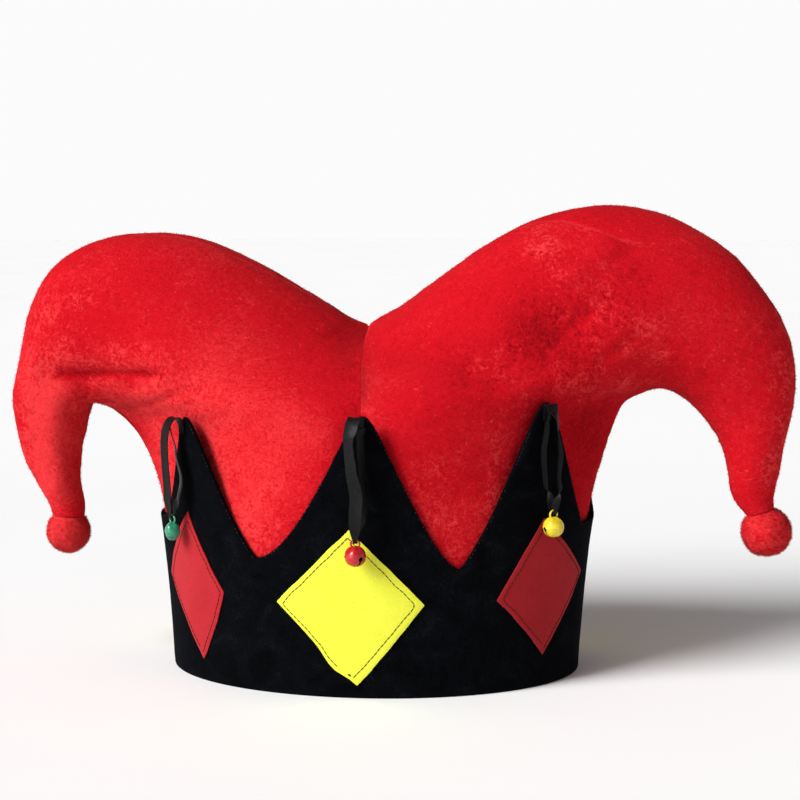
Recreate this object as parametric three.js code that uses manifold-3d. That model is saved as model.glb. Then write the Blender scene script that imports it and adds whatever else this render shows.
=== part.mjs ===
import * as THREE from 'three';
import { mergeVertices } from 'three/addons/utils/BufferGeometryUtils.js';
import Module from 'manifold-3d';

// A two-horned plush carnival hat that stands on its rim: four crown panels, a cuff cut into
// six points, a felt diamond, ribbon and bell at each point, and a plush ball on each horn.
// Millimetres, +Z up, the front towards -Y. Left and right are as seen from the front.

const wasm = await Module();
wasm.setup();

// Driving dimensions
const GAP = 0.3;
const PLUSH_WALL = 2.5;
const PLUSH_COLUMNS = 11;
const PLUSH_FINE_ROWS = 4;
const BODY_SHARE = 0.5;
const HEIGHT_HALVINGS = 24;
const CUFF_WALL = 2;
const CUFF_STANDOFF = 0.8;
const CUFF_SLOPE = 0.07;
const CUFF_FREE_FROM = 80;
const CUFF_COLUMNS = 6;
const CUFF_ROWS = 5;
const RIM_HALF_WIDTH = 100;
const RIM_HALF_DEPTH = 70.4;
const TIP_ROUND = 5.5;
const FELT_WALL = 1.2;
const FELT_STANDOFF = 0.45;
const FELT_CELLS = 5;
const RIBBON_WALL = 0.8;
const BELL_RADIUS = 4.8;
const BELL_WALL = 0.6;
const BELL_SLIT = 0.9;
const BELL_HOLE_RADIUS = 1.1;
const BELL_HOLE_DROP = 0.8;
const BELL_HOLE_SIDES = 6;
const BELL_CUT_LENGTH = 3 * BELL_RADIUS;
const BELL_SIDES = 11;
const BELL_RINGS = 7;
const BELL_HOLLOW_SIDES = 7;
const BELL_HOLLOW_RINGS = 5;
const EYE_RADIUS = 2;
const EYE_WIRE_RADIUS = 0.45;
const EYE_WIRE_SIDES = 5;
const EYE_SIDES = 8;
const EYE_RISE = 0.9;
const EYE_OUT = 4.8;
const BALL_SIDES = 16;

function table(columns, rows) {
  return rows.map((row) => Object.fromEntries(columns.map((name, i) => [name, row[i]])));
}

// Crown sections, from the rim to the horn's end. The top point lies on the centre seam and
// then on the horn's upper ridge, the low point on the body's side and then under the horn.
// depth is half the thickness from front to back. open is 1 where the section runs on into
// the other half of the hat and 0 where it closes on its own ridge. pinch is 1 for a round
// low side and more for a pinched one. seam is the angle in degrees by which the ridge seam
// lies forward of the ridge.
const SECTION = ['topX', 'topZ', 'lowX', 'lowZ', 'depth', 'open', 'pinch', 'seam'];
const BODY = [
  [0, 1, 97.2, 1, 67.6, 1, 1, 0],
  [0, 45, 100.2, 45, 69.4, 1, 1.02, 0],
  [0, 82, 104.4, 78, 70.8, 1, 1.12, 0],
];
const RIGHT = table(SECTION, [
  ...BODY,
  [0, 112, 112.4, 107, 70.6, 0.95, 1.7, 0],
  [0, 140, 118.4, 124.5, 66.5, 0.86, 1.95, 0],
  [0, 157, 122, 130.6, 57, 0.5, 2.05, 0],
  [0, 167, 125.5, 133, 52, 0, 2, 0],
  [13, 177, 130, 134.8, 48.5, 0, 1.8, 0],
  [32, 191.5, 134.5, 136.6, 45, 0, 1.6, 0],
  [55, 207, 138.4, 137.4, 41, 0, 1.35, 0],
  [82, 220.3, 142, 136.6, 36, 0, 1.3, 19],
  [110, 225.1, 146, 134.8, 33, 0, 1.3, 49],
  [140, 220.4, 150, 132, 30, 0, 1.3, 46],
  [167, 205.5, 154, 128.6, 27, 0, 1.25, 18],
  [186, 185, 158, 124.6, 24, 0, 1.25, 0],
  [197.5, 166, 162, 119.5, 21, 0, 1.2, 0],
  [203.2, 147, 165.6, 113.5, 18, 0, 1.2, 0],
  [203, 127, 168.4, 106, 15.5, 0, 1.15, 0],
  [197.6, 106.5, 170.2, 97, 12.5, 0, 1.1, 0],
  [193.8, 92, 171.4, 89, 10, 0, 1, 0],
  [192.6, 85, 174.6, 82, 8, 0, 1, 0],
  [192.8, 80.4, 180, 76.2, 6.5, 0, 1, 0],
]);
const LEFT = table(SECTION, [
  ...BODY,
  [0, 112, 111, 97, 70.6, 0.95, 1.75, 0],
  [0, 140, 117.6, 111, 66, 0.86, 2.2, 0],
  [0, 157, 123, 118, 56, 0.5, 2.6, 0],
  [0, 167, 127.5, 122, 50.5, 0, 2.6, 0],
  [12, 171, 131.5, 124.6, 47.5, 0, 2.3, 0],
  [33.6, 184, 135, 126.2, 44, 0, 2, 7],
  [59.6, 198.3, 138, 127.2, 40, 0, 1.6, 12],
  [90, 210, 140.2, 127.6, 36, 0, 1.3, 12],
  [118, 211.3, 141.6, 126.6, 33, 0, 1.3, 8],
  [143.2, 205.3, 142.6, 124, 30, 0, 1.3, 3],
  [160, 193, 143.4, 120.6, 27, 0, 1.25, 0],
  [170, 176, 144.2, 116.6, 24, 0, 1.25, 0],
  [176.5, 155, 145.2, 112, 21.5, 0, 1.2, 0],
  [183.2, 132, 146.2, 106.4, 18.5, 0, 1.2, 0],
  [181.4, 116, 147.2, 99.6, 16, 0, 1.15, 0],
  [176.2, 100.5, 147.8, 92, 13.5, 0, 1.1, 0],
  [170.5, 88, 147.2, 84.4, 11, 0, 1, 0],
  [164.5, 78, 145.8, 77.6, 9, 0, 1, 0],
  [162.3, 71.4, 146.2, 70.6, 7, 0, 1, 0],
]);

// Soft folds pressed into the front of a horn, each along a line from one point to another.
const FOLD = ['fromX', 'fromZ', 'toX', 'toZ', 'depth', 'width'];
const RIGHT_FOLDS = table(FOLD, [
  [88, 168, 136, 142, 3, 11],
]);
const LEFT_FOLDS = table(FOLD, [
  [108, 143, 158, 141, 4, 8],
]);

// The six points, counted round from the front towards the right, at even steps along the
// rim and then moved by along. tip and valley are the heights of the point and of the dip
// after it, notch is how far the dip lies on the way to the next tip, and fall and rise are
// how much the edge flares on its way down to the dip and up from it. drop is how far below
// the tip its bell's eye hangs, and hang moves its ribbon along the rim. aside, middle, wide,
// tall and tilt lay out its diamond, and spin turns its bell.
const POINT = [
  'along', 'tip', 'valley', 'notch', 'fall', 'rise', 'drop', 'hang',
  'aside', 'middle', 'wide', 'tall', 'tilt', 'spin',
];
const POINTS = table(POINT, [
  [2.2, 131.5, 60, 0.529, 1.5, 1.25, 55.1, -2.5, -3, 42.8, 66.3, 72.8, 1.2, -50],
  [-7.2, 135.3, 75, 0.325, 1.45, 4.1, 49.4, -0.2, -2, 47.8, 55, 66.4, 7.2, -6],
  [-3.8, 130, 65, 0.5, 1.4, 1.4, 50, 0, -3.8, 43, 60, 72, -2, 20],
  [0, 131, 65, 0.5, 1.4, 1.4, 54, 1, 2, 43, 67, 73, 2, -35],
  [3.8, 129, 75, 0.565, 6, 3.9, 49, 0, 3.8, 44, 58, 70, -3, 70],
  [5.9, 126.5, 63.7, 0.418, 1.26, 1.75, 46.4, -2.9, 4.9, 46.2, 43.4, 70.2, 0, 56],
]);

// A ribbon's route from the outside of the point, out over an arch, down to the bell's eye,
// round its wire and up again. out is measured from the cuff's face and up from the tip; rows
// at the bell's eye, where out and up are measured from its wire, have eye 1.
const RIBBON = ['out', 'up', 'eye', 'width'];
const RIBBON_ROUTE = table(RIBBON, [
  [0.7, -7, 0, 6],
  [0.9, -2.5, 0, 6],
  [2.6, 1.2, 0, 6],
  [5.6, 0.4, 0, 6],
  [8, -4.5, 0, 6],
  [8.6, -12, 0, 6],
  [8.2, -22, 0, 6],
  [7.2, -34, 0, 6],
  [2.6, 8, 1, 5.2],
  [1.8, 3, 1, 3],
  [1.5, -0.4, 1, 2],
  [0.9, -1.45, 1, 2],
  [0, -1.75, 1, 2],
  [-0.9, -1.45, 1, 2],
  [-1.5, -0.4, 1, 2],
  [-1.7, 3, 1, 3],
  [-1.7, 8, 1, 5.2],
  [2.6, -34, 0, 6],
  [2.2, -22, 0, 6],
  [1.9, -12, 0, 6],
  [1.85, -4.5, 0, 6],
]);

// The plush balls: seat is the radius of the flat on which the horn ends.
const BALL = ['radius', 'seat'];
const [RIGHT_BALL, LEFT_BALL] = table(BALL, [
  [12.2, 7],
  [10.9, 7.6],
]);

// Colours
const cloth = (color, roughness) => new THREE.MeshStandardMaterial({ color, roughness });
const paint = (color) => new THREE.MeshStandardMaterial({ color, roughness: 0.3, metalness: 0.5 });
const PLUSH = cloth(0xd91e29, 0.9);
const VELVET = cloth(0x0b0c0e, 0.95);
const SATIN = cloth(0x1d1d20, 0.45);
const FELTS = [cloth(0xf4f24a, 0.95), cloth(0xb82a33, 0.95)];
const PAINTS = [paint(0xc8323a), paint(0xf0cf32), paint(0x3a9470)];

// One half of the crown: side is 1 on the right and -1 on the left.
function crownHalf(side, rows, folds) {
  return {
    side,
    folds,
    stations: rows.length - 1,
    rows: new THREE.CubicInterpolant(
      rows.map((_, i) => i),
      rows.flatMap((row) => SECTION.map((name) => row[name])),
      SECTION.length,
    ),
  };
}

// The section at u, which runs from 0 at the rim to 1 at the horn's end.
function sectionAt(half, u) {
  const values = half.rows.evaluate(u * half.stations);
  return Object.fromEntries(SECTION.map((name, i) => [name, values[i]]));
}

function foldDepth(folds, x, z) {
  const point = new THREE.Vector3(x, 0, z);
  return folds.reduce((sum, fold) => {
    const from = new THREE.Vector3(fold.fromX, 0, fold.fromZ);
    const to = new THREE.Vector3(fold.toX, 0, fold.toZ);
    const near = new THREE.Line3(from, to).closestPointToPoint(point, true, new THREE.Vector3());
    return sum + fold.depth * Math.exp(-((near.distanceTo(point) / fold.width) ** 2));
  }, 0);
}

// A point of the crown: t runs from the section's top point to its low one, face is 1 on the
// front and -1 on the back, and inset goes into the wall.
function crownPoint(half, face, u, t, inset = 0) {
  const row = sectionAt(half, u);
  const top = new THREE.Vector3(row.topX, 0, row.topZ);
  const low = new THREE.Vector3(row.lowX, 0, row.lowZ);
  const open = THREE.MathUtils.clamp(row.open, 0, 1);
  const along = low.clone().sub(top).normalize();
  top.addScaledVector(along, inset * (1 - open));
  low.addScaledVector(along, -inset);
  const turn = open * Math.PI / 2;
  const clear = GAP / 2 / row.depth;
  const start = turn + face * THREE.MathUtils.degToRad(row.seam) + clear;
  const angle = start + (Math.PI - clear - start) * t;
  const share = (Math.cos(turn) - Math.cos(angle)) / (Math.cos(turn) + 1);
  const power = THREE.MathUtils.lerp(1, row.pinch, Math.max(share, open));
  const bulge = Math.sign(angle) * Math.abs(Math.sin(angle)) ** power;
  const point = top.lerp(low, share);
  const dent = face > 0 ? foldDepth(half.folds, point.x, point.z) : 0;
  point.y = -face * ((row.depth - inset) - dent) * bulge;
  point.x = half.side * (Math.max(point.x, 0) + GAP / 2);
  return point;
}

function signedVolume(vertices, triangles) {
  const [a, b, c] = [new THREE.Vector3(), new THREE.Vector3(), new THREE.Vector3()];
  let volume = 0;
  for (let i = 0; i < triangles.length; i += 3) {
    a.copy(vertices[triangles[i]]);
    b.copy(vertices[triangles[i + 1]]);
    c.copy(vertices[triangles[i + 2]]);
    volume += a.dot(b.cross(c)) / 6;
  }
  return volume;
}

// A closed wall between two grids of points of the same size, each a list of rows. With ring
// set, the last column joins the first.
function wallGeometry(outer, inner, ring = false) {
  const rows = outer.length;
  const columns = outer[0].length;
  const vertices = [...outer.flat(), ...inner.flat()];
  const triangles = [];
  const at = (layer, i, j) => (layer * rows + i) * columns + (j % columns);
  const quad = (a, b, c, d) => triangles.push(a, b, c, a, c, d);
  const spans = ring ? columns : columns - 1;
  for (let j = 0; j < spans; j += 1) {
    for (let i = 0; i < rows - 1; i += 1) {
      quad(at(0, i, j), at(0, i, j + 1), at(0, i + 1, j + 1), at(0, i + 1, j));
      quad(at(1, i, j), at(1, i + 1, j), at(1, i + 1, j + 1), at(1, i, j + 1));
    }
    quad(at(0, 0, j), at(1, 0, j), at(1, 0, j + 1), at(0, 0, j + 1));
    quad(at(0, rows - 1, j), at(0, rows - 1, j + 1), at(1, rows - 1, j + 1), at(1, rows - 1, j));
  }
  for (let i = 0; i < rows - 1 && !ring; i += 1) {
    const j = columns - 1;
    quad(at(0, i, 0), at(0, i + 1, 0), at(1, i + 1, 0), at(1, i, 0));
    quad(at(0, i, j), at(1, i, j), at(1, i + 1, j), at(0, i + 1, j));
  }
  if (signedVolume(vertices, triangles) < 0) triangles.reverse();
  const geometry = new THREE.BufferGeometry().setFromPoints(vertices);
  geometry.setIndex(triangles);
  return geometry;
}

const steps = (count) => Array.from({ length: count + 1 }, (_, i) => i / count);

function grid(rows, columns, pointAt) {
  return rows.map((u) => columns.map((t) => pointAt(u, t)));
}

// The body's rows are halved, because the cuff lies close around them.
function crownPanel(half, face) {
  const whole = steps(half.stations);
  const halves = whole.slice(0, PLUSH_FINE_ROWS).map((u, i) => (u + whole[i + 1]) / 2);
  const rows = [...whole, ...halves].sort((a, b) => a - b);
  const layer = (inset) => grid(rows, steps(PLUSH_COLUMNS), (u, t) => (
    crownPoint(half, face, u, t, inset)));
  return wallGeometry(layer(0), layer(PLUSH_WALL));
}

// The rim as a ring, on which a share runs once round by length from the front towards the right.
const [FRONT, ROUND] = [-Math.PI / 2, 3 * Math.PI / 2];
const rim = new THREE.EllipseCurve(0, 0, RIM_HALF_WIDTH, RIM_HALF_DEPTH, FRONT, ROUND);
const rightHalf = crownHalf(1, RIGHT, RIGHT_FOLDS);
const leftHalf = crownHalf(-1, LEFT, LEFT_FOLDS);

// The body's outside at a share of the ring and a height.
function plushAt(share, z) {
  const mark = rim.getPointAt(share - Math.floor(share));
  const half = mark.x < 0 ? leftHalf : rightHalf;
  const face = mark.y > 0 ? -1 : 1;
  const wide = Math.abs(mark.x) / RIM_HALF_WIDTH;
  const deep = Math.abs(mark.y) / RIM_HALF_DEPTH;
  const t = Math.atan2(wide, deep) / (Math.PI / 2);
  let [under, over] = [0, BODY_SHARE];
  for (let i = 0; i < HEIGHT_HALVINGS; i += 1) {
    const middle = (under + over) / 2;
    if (crownPoint(half, face, middle, t).z < z) under = middle;
    else over = middle;
  }
  return crownPoint(half, face, under, t).setZ(z);
}

function outwards(share) {
  const tangent = rim.getTangentAt(share - Math.floor(share));
  return new THREE.Vector3(tangent.y, -tangent.x, 0);
}

// The cuff lies on the body, and its points run on with a slope of their own, or with the
// plush where that leans out further. offset goes outwards from the cuff's inside.
function cuffPoint(share, z, offset) {
  const out = outwards(share);
  const foot = plushAt(share, Math.min(z, CUFF_FREE_FROM));
  const free = CUFF_SLOPE * Math.max(0, z - CUFF_FREE_FROM);
  const pushed = plushAt(share, z).sub(foot).dot(out);
  return foot.addScaledVector(out, CUFF_STANDOFF + Math.max(free, pushed) + offset).setZ(z);
}

// Where a point's tip lies round the rim; counting runs on past the last point.
function tipShare(index) {
  return index / POINTS.length + POINTS[index % POINTS.length].along / rim.getLength();
}

// How far the cuff's edge has come down on its run from a tip (q is 0) to a dip (q is 1):
// round at the tip, and flaring out towards the dip.
function edgeDrop(q, run, flare) {
  const round = TIP_ROUND / run;
  const soft = (Math.hypot(q, round) - round) / (Math.hypot(1, round) - round);
  return 1 - (1 - soft) ** flare;
}

// The edge from a point's tip down to its dip and up again towards the next tip.
function cuffEdge(point, index) {
  const next = POINTS[(index + 1) % POINTS.length];
  const [from, to] = [tipShare(index), tipShare(index + 1)];
  const dip = THREE.MathUtils.lerp(from, to, point.notch);
  const slope = (start, tip, flare) => steps(CUFF_COLUMNS).map((q) => {
    const drop = edgeDrop(q, Math.abs(dip - start) * rim.getLength(), flare);
    return {
      share: THREE.MathUtils.lerp(start, dip, q),
      top: THREE.MathUtils.lerp(tip, point.valley, drop),
    };
  });
  const down = slope(from, point.tip, point.fall);
  const up = slope(to, next.tip, point.rise).reverse();
  return [...down.slice(0, -1), ...up.slice(0, -1)];
}

function cuffWall() {
  const edge = POINTS.flatMap(cuffEdge);
  const layer = (offset) => grid(steps(CUFF_ROWS), edge, (rise, { share, top }) => (
    cuffPoint(share, top * rise, offset)));
  return wallGeometry(layer(CUFF_WALL), layer(0), true);
}

function feltDiamond(index) {
  const { aside, middle, wide, tall, tilt } = POINTS[index];
  const length = rim.getLength();
  const turn = THREE.MathUtils.degToRad(tilt);
  const inside = CUFF_WALL + FELT_STANDOFF;
  const layer = (offset) => grid(steps(FELT_CELLS), steps(FELT_CELLS), (s, t) => {
    const flat = new THREE.Vector2((s - t) * wide / 2, (s + t - 1) * tall / 2);
    flat.rotateAround(new THREE.Vector2(), turn);
    return cuffPoint(index / POINTS.length + (aside + flat.x) / length, middle + flat.y, offset);
  });
  return wallGeometry(layer(inside + FELT_WALL), layer(inside));
}

// The place where a point's ribbon is sewn on, turned so that its own +X looks outwards.
function pointFrame(index) {
  const { tip, hang } = POINTS[index];
  const share = tipShare(index) + hang / rim.getLength();
  const frame = new THREE.Group();
  const out = outwards(share);
  frame.position.copy(cuffPoint(share, tip, CUFF_WALL));
  frame.rotation.z = Math.atan2(out.y, out.x);
  return frame;
}

function ribbonLoop(drop) {
  const place = ({ out, up, eye }) => new THREE.Vector3(out + eye * EYE_OUT, 0, up - eye * drop);
  const route = new THREE.CatmullRomCurve3(RIBBON_ROUTE.map(place));
  const last = RIBBON_ROUTE.length - 1;
  const layer = (side) => RIBBON_ROUTE.map((row, i) => {
    const along = route.getTangent(i / last);
    const across = new THREE.Vector3(along.z, 0, -along.x);
    const edge = (hand) => place(row)
      .addScaledVector(across, side * RIBBON_WALL / 2)
      .setY(hand * row.width / 2);
    return [edge(-1), edge(1)];
  });
  return wallGeometry(layer(1), layer(-1));
}

function solid(geometry) {
  const bare = geometry.toNonIndexed();
  bare.deleteAttribute('normal');
  bare.deleteAttribute('uv');
  const merged = mergeVertices(bare);
  return new wasm.Manifold(new wasm.Mesh({
    numProp: 3,
    vertProperties: new Float32Array(merged.attributes.position.array),
    triVerts: new Uint32Array(merged.index.array),
  }));
}

function fromSolid(body) {
  const { vertProperties, triVerts } = body.getMesh();
  const geometry = new THREE.BufferGeometry();
  geometry.setAttribute('position', new THREE.BufferAttribute(vertProperties, 3));
  geometry.setIndex(new THREE.BufferAttribute(triVerts, 1));
  return geometry;
}

// A hollow ball, slit across its lower half from one round hole to another, with a wire eye
// on top. Its origin is the middle of the ball, and spin turns the slit.
function bellGeometry(spin) {
  const turn = THREE.MathUtils.degToRad(spin);
  const within = BELL_RADIUS - BELL_WALL;
  const ball = new THREE.SphereGeometry(BELL_RADIUS, BELL_SIDES, BELL_RINGS);
  ball.rotateX(Math.PI / 2);
  const hollow = new THREE.SphereGeometry(within, BELL_HOLLOW_SIDES, BELL_HOLLOW_RINGS);
  hollow.rotateX(Math.PI / 2);
  const slit = new THREE.BoxGeometry(BELL_SLIT, BELL_CUT_LENGTH, BELL_RADIUS);
  slit.translate(0, 0, -BELL_HOLE_DROP - BELL_RADIUS / 2).rotateZ(turn);
  const hole = new THREE.CylinderGeometry(
    BELL_HOLE_RADIUS,
    BELL_HOLE_RADIUS,
    BELL_CUT_LENGTH,
    BELL_HOLE_SIDES,
  );
  hole.translate(0, 0, -BELL_HOLE_DROP).rotateZ(turn);
  const eye = new THREE.TorusGeometry(EYE_RADIUS, EYE_WIRE_RADIUS, EYE_WIRE_SIDES, EYE_SIDES);
  eye.rotateX(Math.PI / 2).rotateZ(Math.PI / 2);
  eye.translate(0, 0, BELL_RADIUS + EYE_RISE);
  const wall = solid(ball).add(solid(eye)).subtract(solid(hollow));
  return fromSolid(wall.subtract(solid(slit)).subtract(solid(hole)));
}

// A plush ball under the end of a horn, with a flat seat that faces the horn's open end.
function plushBall(half, { radius, seat }) {
  const rise = Math.sqrt(radius ** 2 - seat ** 2);
  const from = Math.asin(seat / radius);
  const profile = [new THREE.Vector2(0, rise)];
  for (let i = 0; i <= BALL_SIDES / 2; i += 1) {
    const angle = THREE.MathUtils.lerp(from, Math.PI, i / (BALL_SIDES / 2));
    profile.push(new THREE.Vector2(radius * Math.sin(angle), radius * Math.cos(angle)));
  }
  profile[profile.length - 1].x = 0;
  profile.reverse();
  const ball = new THREE.Mesh(new THREE.LatheGeometry(profile, BALL_SIDES), PLUSH);
  const end = sectionAt(half, 1);
  const top = new THREE.Vector3(end.topX, 0, end.topZ);
  const low = new THREE.Vector3(end.lowX, 0, end.lowZ);
  const across = top.clone().sub(low).normalize();
  const up = new THREE.Vector3(-across.z, 0, across.x).multiplyScalar(Math.sign(across.x));
  ball.position.copy(top.add(low).divideScalar(2)).addScaledVector(up, -GAP - rise);
  ball.position.x *= half.side;
  up.x *= half.side;
  ball.quaternion.setFromUnitVectors(new THREE.Vector3(0, 1, 0), up);
  return ball;
}

function named(name, mesh) {
  mesh.name = name;
  return mesh;
}

function buildHat() {
  const hat = new THREE.Group();
  for (const [face, place] of [[1, 'front'], [-1, 'back']]) {
    hat.add(named(`crown_${place}_left`, new THREE.Mesh(crownPanel(leftHalf, face), PLUSH)));
    hat.add(named(`crown_${place}_right`, new THREE.Mesh(crownPanel(rightHalf, face), PLUSH)));
  }
  hat.add(named('plush_ball_left', plushBall(leftHalf, LEFT_BALL)));
  hat.add(named('plush_ball_right', plushBall(rightHalf, RIGHT_BALL)));
  hat.add(named('cuff', new THREE.Mesh(cuffWall(), VELVET)));
  POINTS.forEach(({ drop, spin }, index) => {
    const number = index + 1;
    const felt = FELTS[index % FELTS.length];
    hat.add(named(`diamond_${number}`, new THREE.Mesh(feltDiamond(index), felt)));
    const frame = pointFrame(index);
    frame.add(named(`ribbon_${number}`, new THREE.Mesh(ribbonLoop(drop), SATIN)));
    const coat = PAINTS[index % PAINTS.length];
    const bell = named(`bell_${number}`, new THREE.Mesh(bellGeometry(spin), coat));
    bell.position.set(EYE_OUT, 0, -drop - EYE_RADIUS - EYE_RISE - BELL_RADIUS);
    frame.add(bell);
    hat.add(frame);
  });
  return hat;
}

// The left horn droops more than the right one, so the hat is moved to centre its whole width.
const model = new THREE.Group();
const hat = buildHat();
hat.position.x = -new THREE.Box3().setFromObject(hat, true).getCenter(new THREE.Vector3()).x;
model.add(hat);

export default model;
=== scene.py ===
"""Looks of a two-horned plush jester hat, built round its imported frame."""

import itertools
import math

import bmesh
import bpy
import numpy as np
from mathutils import Euler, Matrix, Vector


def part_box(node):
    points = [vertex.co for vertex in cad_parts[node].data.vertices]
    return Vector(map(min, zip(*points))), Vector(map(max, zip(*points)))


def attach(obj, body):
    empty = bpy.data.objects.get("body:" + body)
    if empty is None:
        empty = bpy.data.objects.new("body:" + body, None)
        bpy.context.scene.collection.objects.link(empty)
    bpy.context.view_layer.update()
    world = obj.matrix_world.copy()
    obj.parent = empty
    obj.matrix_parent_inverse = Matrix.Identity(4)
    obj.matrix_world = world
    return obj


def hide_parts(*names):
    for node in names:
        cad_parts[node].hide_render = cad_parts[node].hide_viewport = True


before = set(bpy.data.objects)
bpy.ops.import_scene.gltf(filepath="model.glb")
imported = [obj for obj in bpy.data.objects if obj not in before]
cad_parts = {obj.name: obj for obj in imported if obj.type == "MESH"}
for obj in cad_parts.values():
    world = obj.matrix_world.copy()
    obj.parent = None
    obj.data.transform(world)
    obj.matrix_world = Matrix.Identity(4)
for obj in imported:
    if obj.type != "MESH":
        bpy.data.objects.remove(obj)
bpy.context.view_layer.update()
BODY = "root"
MM = 0.001
# The plane of the centre seam. Shapes below are in millimetres from it, with the front towards -Y.
SEAM_X = (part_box("crown_front_left")[1].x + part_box("crown_front_right")[0].x) / 2

# The camera stands where the photograph was taken from.
CAMERA_AZIMUTH, CAMERA_ELEVATION, CAMERA_DISTANCE = math.radians(6.2), math.radians(7.6), 0.927
CAMERA_TARGET = Vector((SEAM_X, 0, 0.110))
CAMERA_AIM_RIGHT, CAMERA_AIM_UP = 0.0120, 0.0202
CAMERA_LENS = 85.1


def in_scene(name, data):
    """A new object in the scene."""
    made = bpy.data.objects.new(name, data)
    bpy.context.scene.collection.objects.link(made)
    return made


def make_camera():
    turn = Euler((math.pi / 2 - CAMERA_ELEVATION, 0, CAMERA_AZIMUTH)).to_matrix()
    right, up, back = turn.transposed()
    camera = in_scene("camera", bpy.data.cameras.new("camera"))
    camera.data.lens = CAMERA_LENS
    camera.location = CAMERA_TARGET + back * CAMERA_DISTANCE
    aim = CAMERA_TARGET + right * CAMERA_AIM_RIGHT + up * CAMERA_AIM_UP
    camera.rotation_euler = (aim - camera.location).to_track_quat("-Z", "Y").to_euler()
    bpy.context.scene.camera = camera


make_camera()

# The crown's panels are sewn up closer here than in their solids.
SEAM_GAP = 0.04
# Sizes of the hat, as in its solids.
GAP = 0.3
PLUSH_WALL = 2.5
CUFF_WALL = 2.0
CUFF_STANDOFF = 0.8
CUFF_SLOPE = 0.07
CUFF_FREE_FROM = 80.0
RIM_HALF_WIDTH, RIM_HALF_DEPTH = 100.0, 70.4
TIP_ROUND = 5.5
BELL_RADIUS, BELL_WALL, BELL_SLIT = 4.8, 0.6, 0.9
BELL_HOLE_RADIUS, BELL_HOLE_DROP = 1.1, 0.8
EYE_RADIUS, EYE_WIRE_RADIUS, EYE_RISE, EYE_OUT = 2.0, 0.45, 0.9, 4.8

# Crown sections: topX, topZ, lowX, lowZ, depth, open, pinch, seam.
BODY_ROWS = [
    [0, 1, 97.2, 1, 67.6, 1, 1, 0],
    [0, 45, 100.2, 45, 69.4, 1, 1.02, 0],
    [0, 82, 104.4, 78, 70.8, 1, 1.12, 0],
]
RIGHT_ROWS = BODY_ROWS + [
    [0, 112, 112.4, 107, 70.6, 0.95, 1.7, 0],
    [0, 140, 118.4, 124.5, 66.5, 0.86, 1.95, 0],
    [0, 157, 122, 130.6, 57, 0.5, 2.05, 0],
    [0, 167, 125.5, 133, 52, 0, 2, 0],
    [13, 177, 130, 134.8, 48.5, 0, 1.8, 0],
    [32, 191.5, 134.5, 136.6, 45, 0, 1.6, 0],
    [55, 207, 138.4, 137.4, 41, 0, 1.35, 0],
    [82, 220.3, 142, 136.6, 36, 0, 1.3, 19],
    [110, 225.1, 146, 134.8, 33, 0, 1.3, 49],
    [140, 220.4, 150, 132, 30, 0, 1.3, 46],
    [167, 205.5, 154, 128.6, 27, 0, 1.25, 18],
    [186, 185, 158, 124.6, 24, 0, 1.25, 0],
    [197.5, 166, 162, 119.5, 21, 0, 1.2, 0],
    [203.2, 147, 165.6, 113.5, 18, 0, 1.2, 0],
    [203, 127, 168.4, 106, 15.5, 0, 1.15, 0],
    [197.6, 106.5, 170.2, 97, 12.5, 0, 1.1, 0],
    [193.8, 92, 171.4, 89, 10, 0, 1, 0],
    [192.6, 85, 174.6, 82, 8, 0, 1, 0],
    [192.8, 80.4, 180, 76.2, 6.5, 0, 1, 0],
]
LEFT_ROWS = BODY_ROWS + [
    [0, 112, 111, 97, 70.6, 0.95, 1.75, 0],
    [0, 140, 117.6, 111, 66, 0.86, 2.2, 0],
    [0, 157, 123, 118, 56, 0.5, 2.6, 0],
    [0, 167, 127.5, 122, 50.5, 0, 2.6, 0],
    [12, 171, 131.5, 124.6, 47.5, 0, 2.3, 0],
    [33.6, 184, 135, 126.2, 44, 0, 2, 7],
    [59.6, 198.3, 138, 127.2, 40, 0, 1.6, 12],
    [90, 210, 140.2, 127.6, 36, 0, 1.3, 12],
    [118, 211.3, 141.6, 126.6, 33, 0, 1.3, 8],
    [143.2, 205.3, 142.6, 124, 30, 0, 1.3, 3],
    [160, 193, 143.4, 120.6, 27, 0, 1.25, 0],
    [170, 176, 144.2, 116.6, 24, 0, 1.25, 0],
    [176.5, 155, 145.2, 112, 21.5, 0, 1.2, 0],
    [183.2, 132, 146.2, 106.4, 18.5, 0, 1.2, 0],
    [181.4, 116, 147.2, 99.6, 16, 0, 1.15, 0],
    [176.2, 100.5, 147.8, 92, 13.5, 0, 1.1, 0],
    [170.5, 88, 147.2, 84.4, 11, 0, 1, 0],
    [164.5, 78, 145.8, 77.6, 9, 0, 1, 0],
    [162.3, 71.4, 146.2, 70.6, 7, 0, 1, 0],
]
# Folds on the front: fromX, fromZ, toX, toZ, depth, width. A negative depth is a soft ridge.
RIGHT_FOLDS = [
    [88, 168, 136, 142, 3, 11],
]
LEFT_FOLDS = [
    [108, 143, 158, 141, 4, 8],
]
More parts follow.
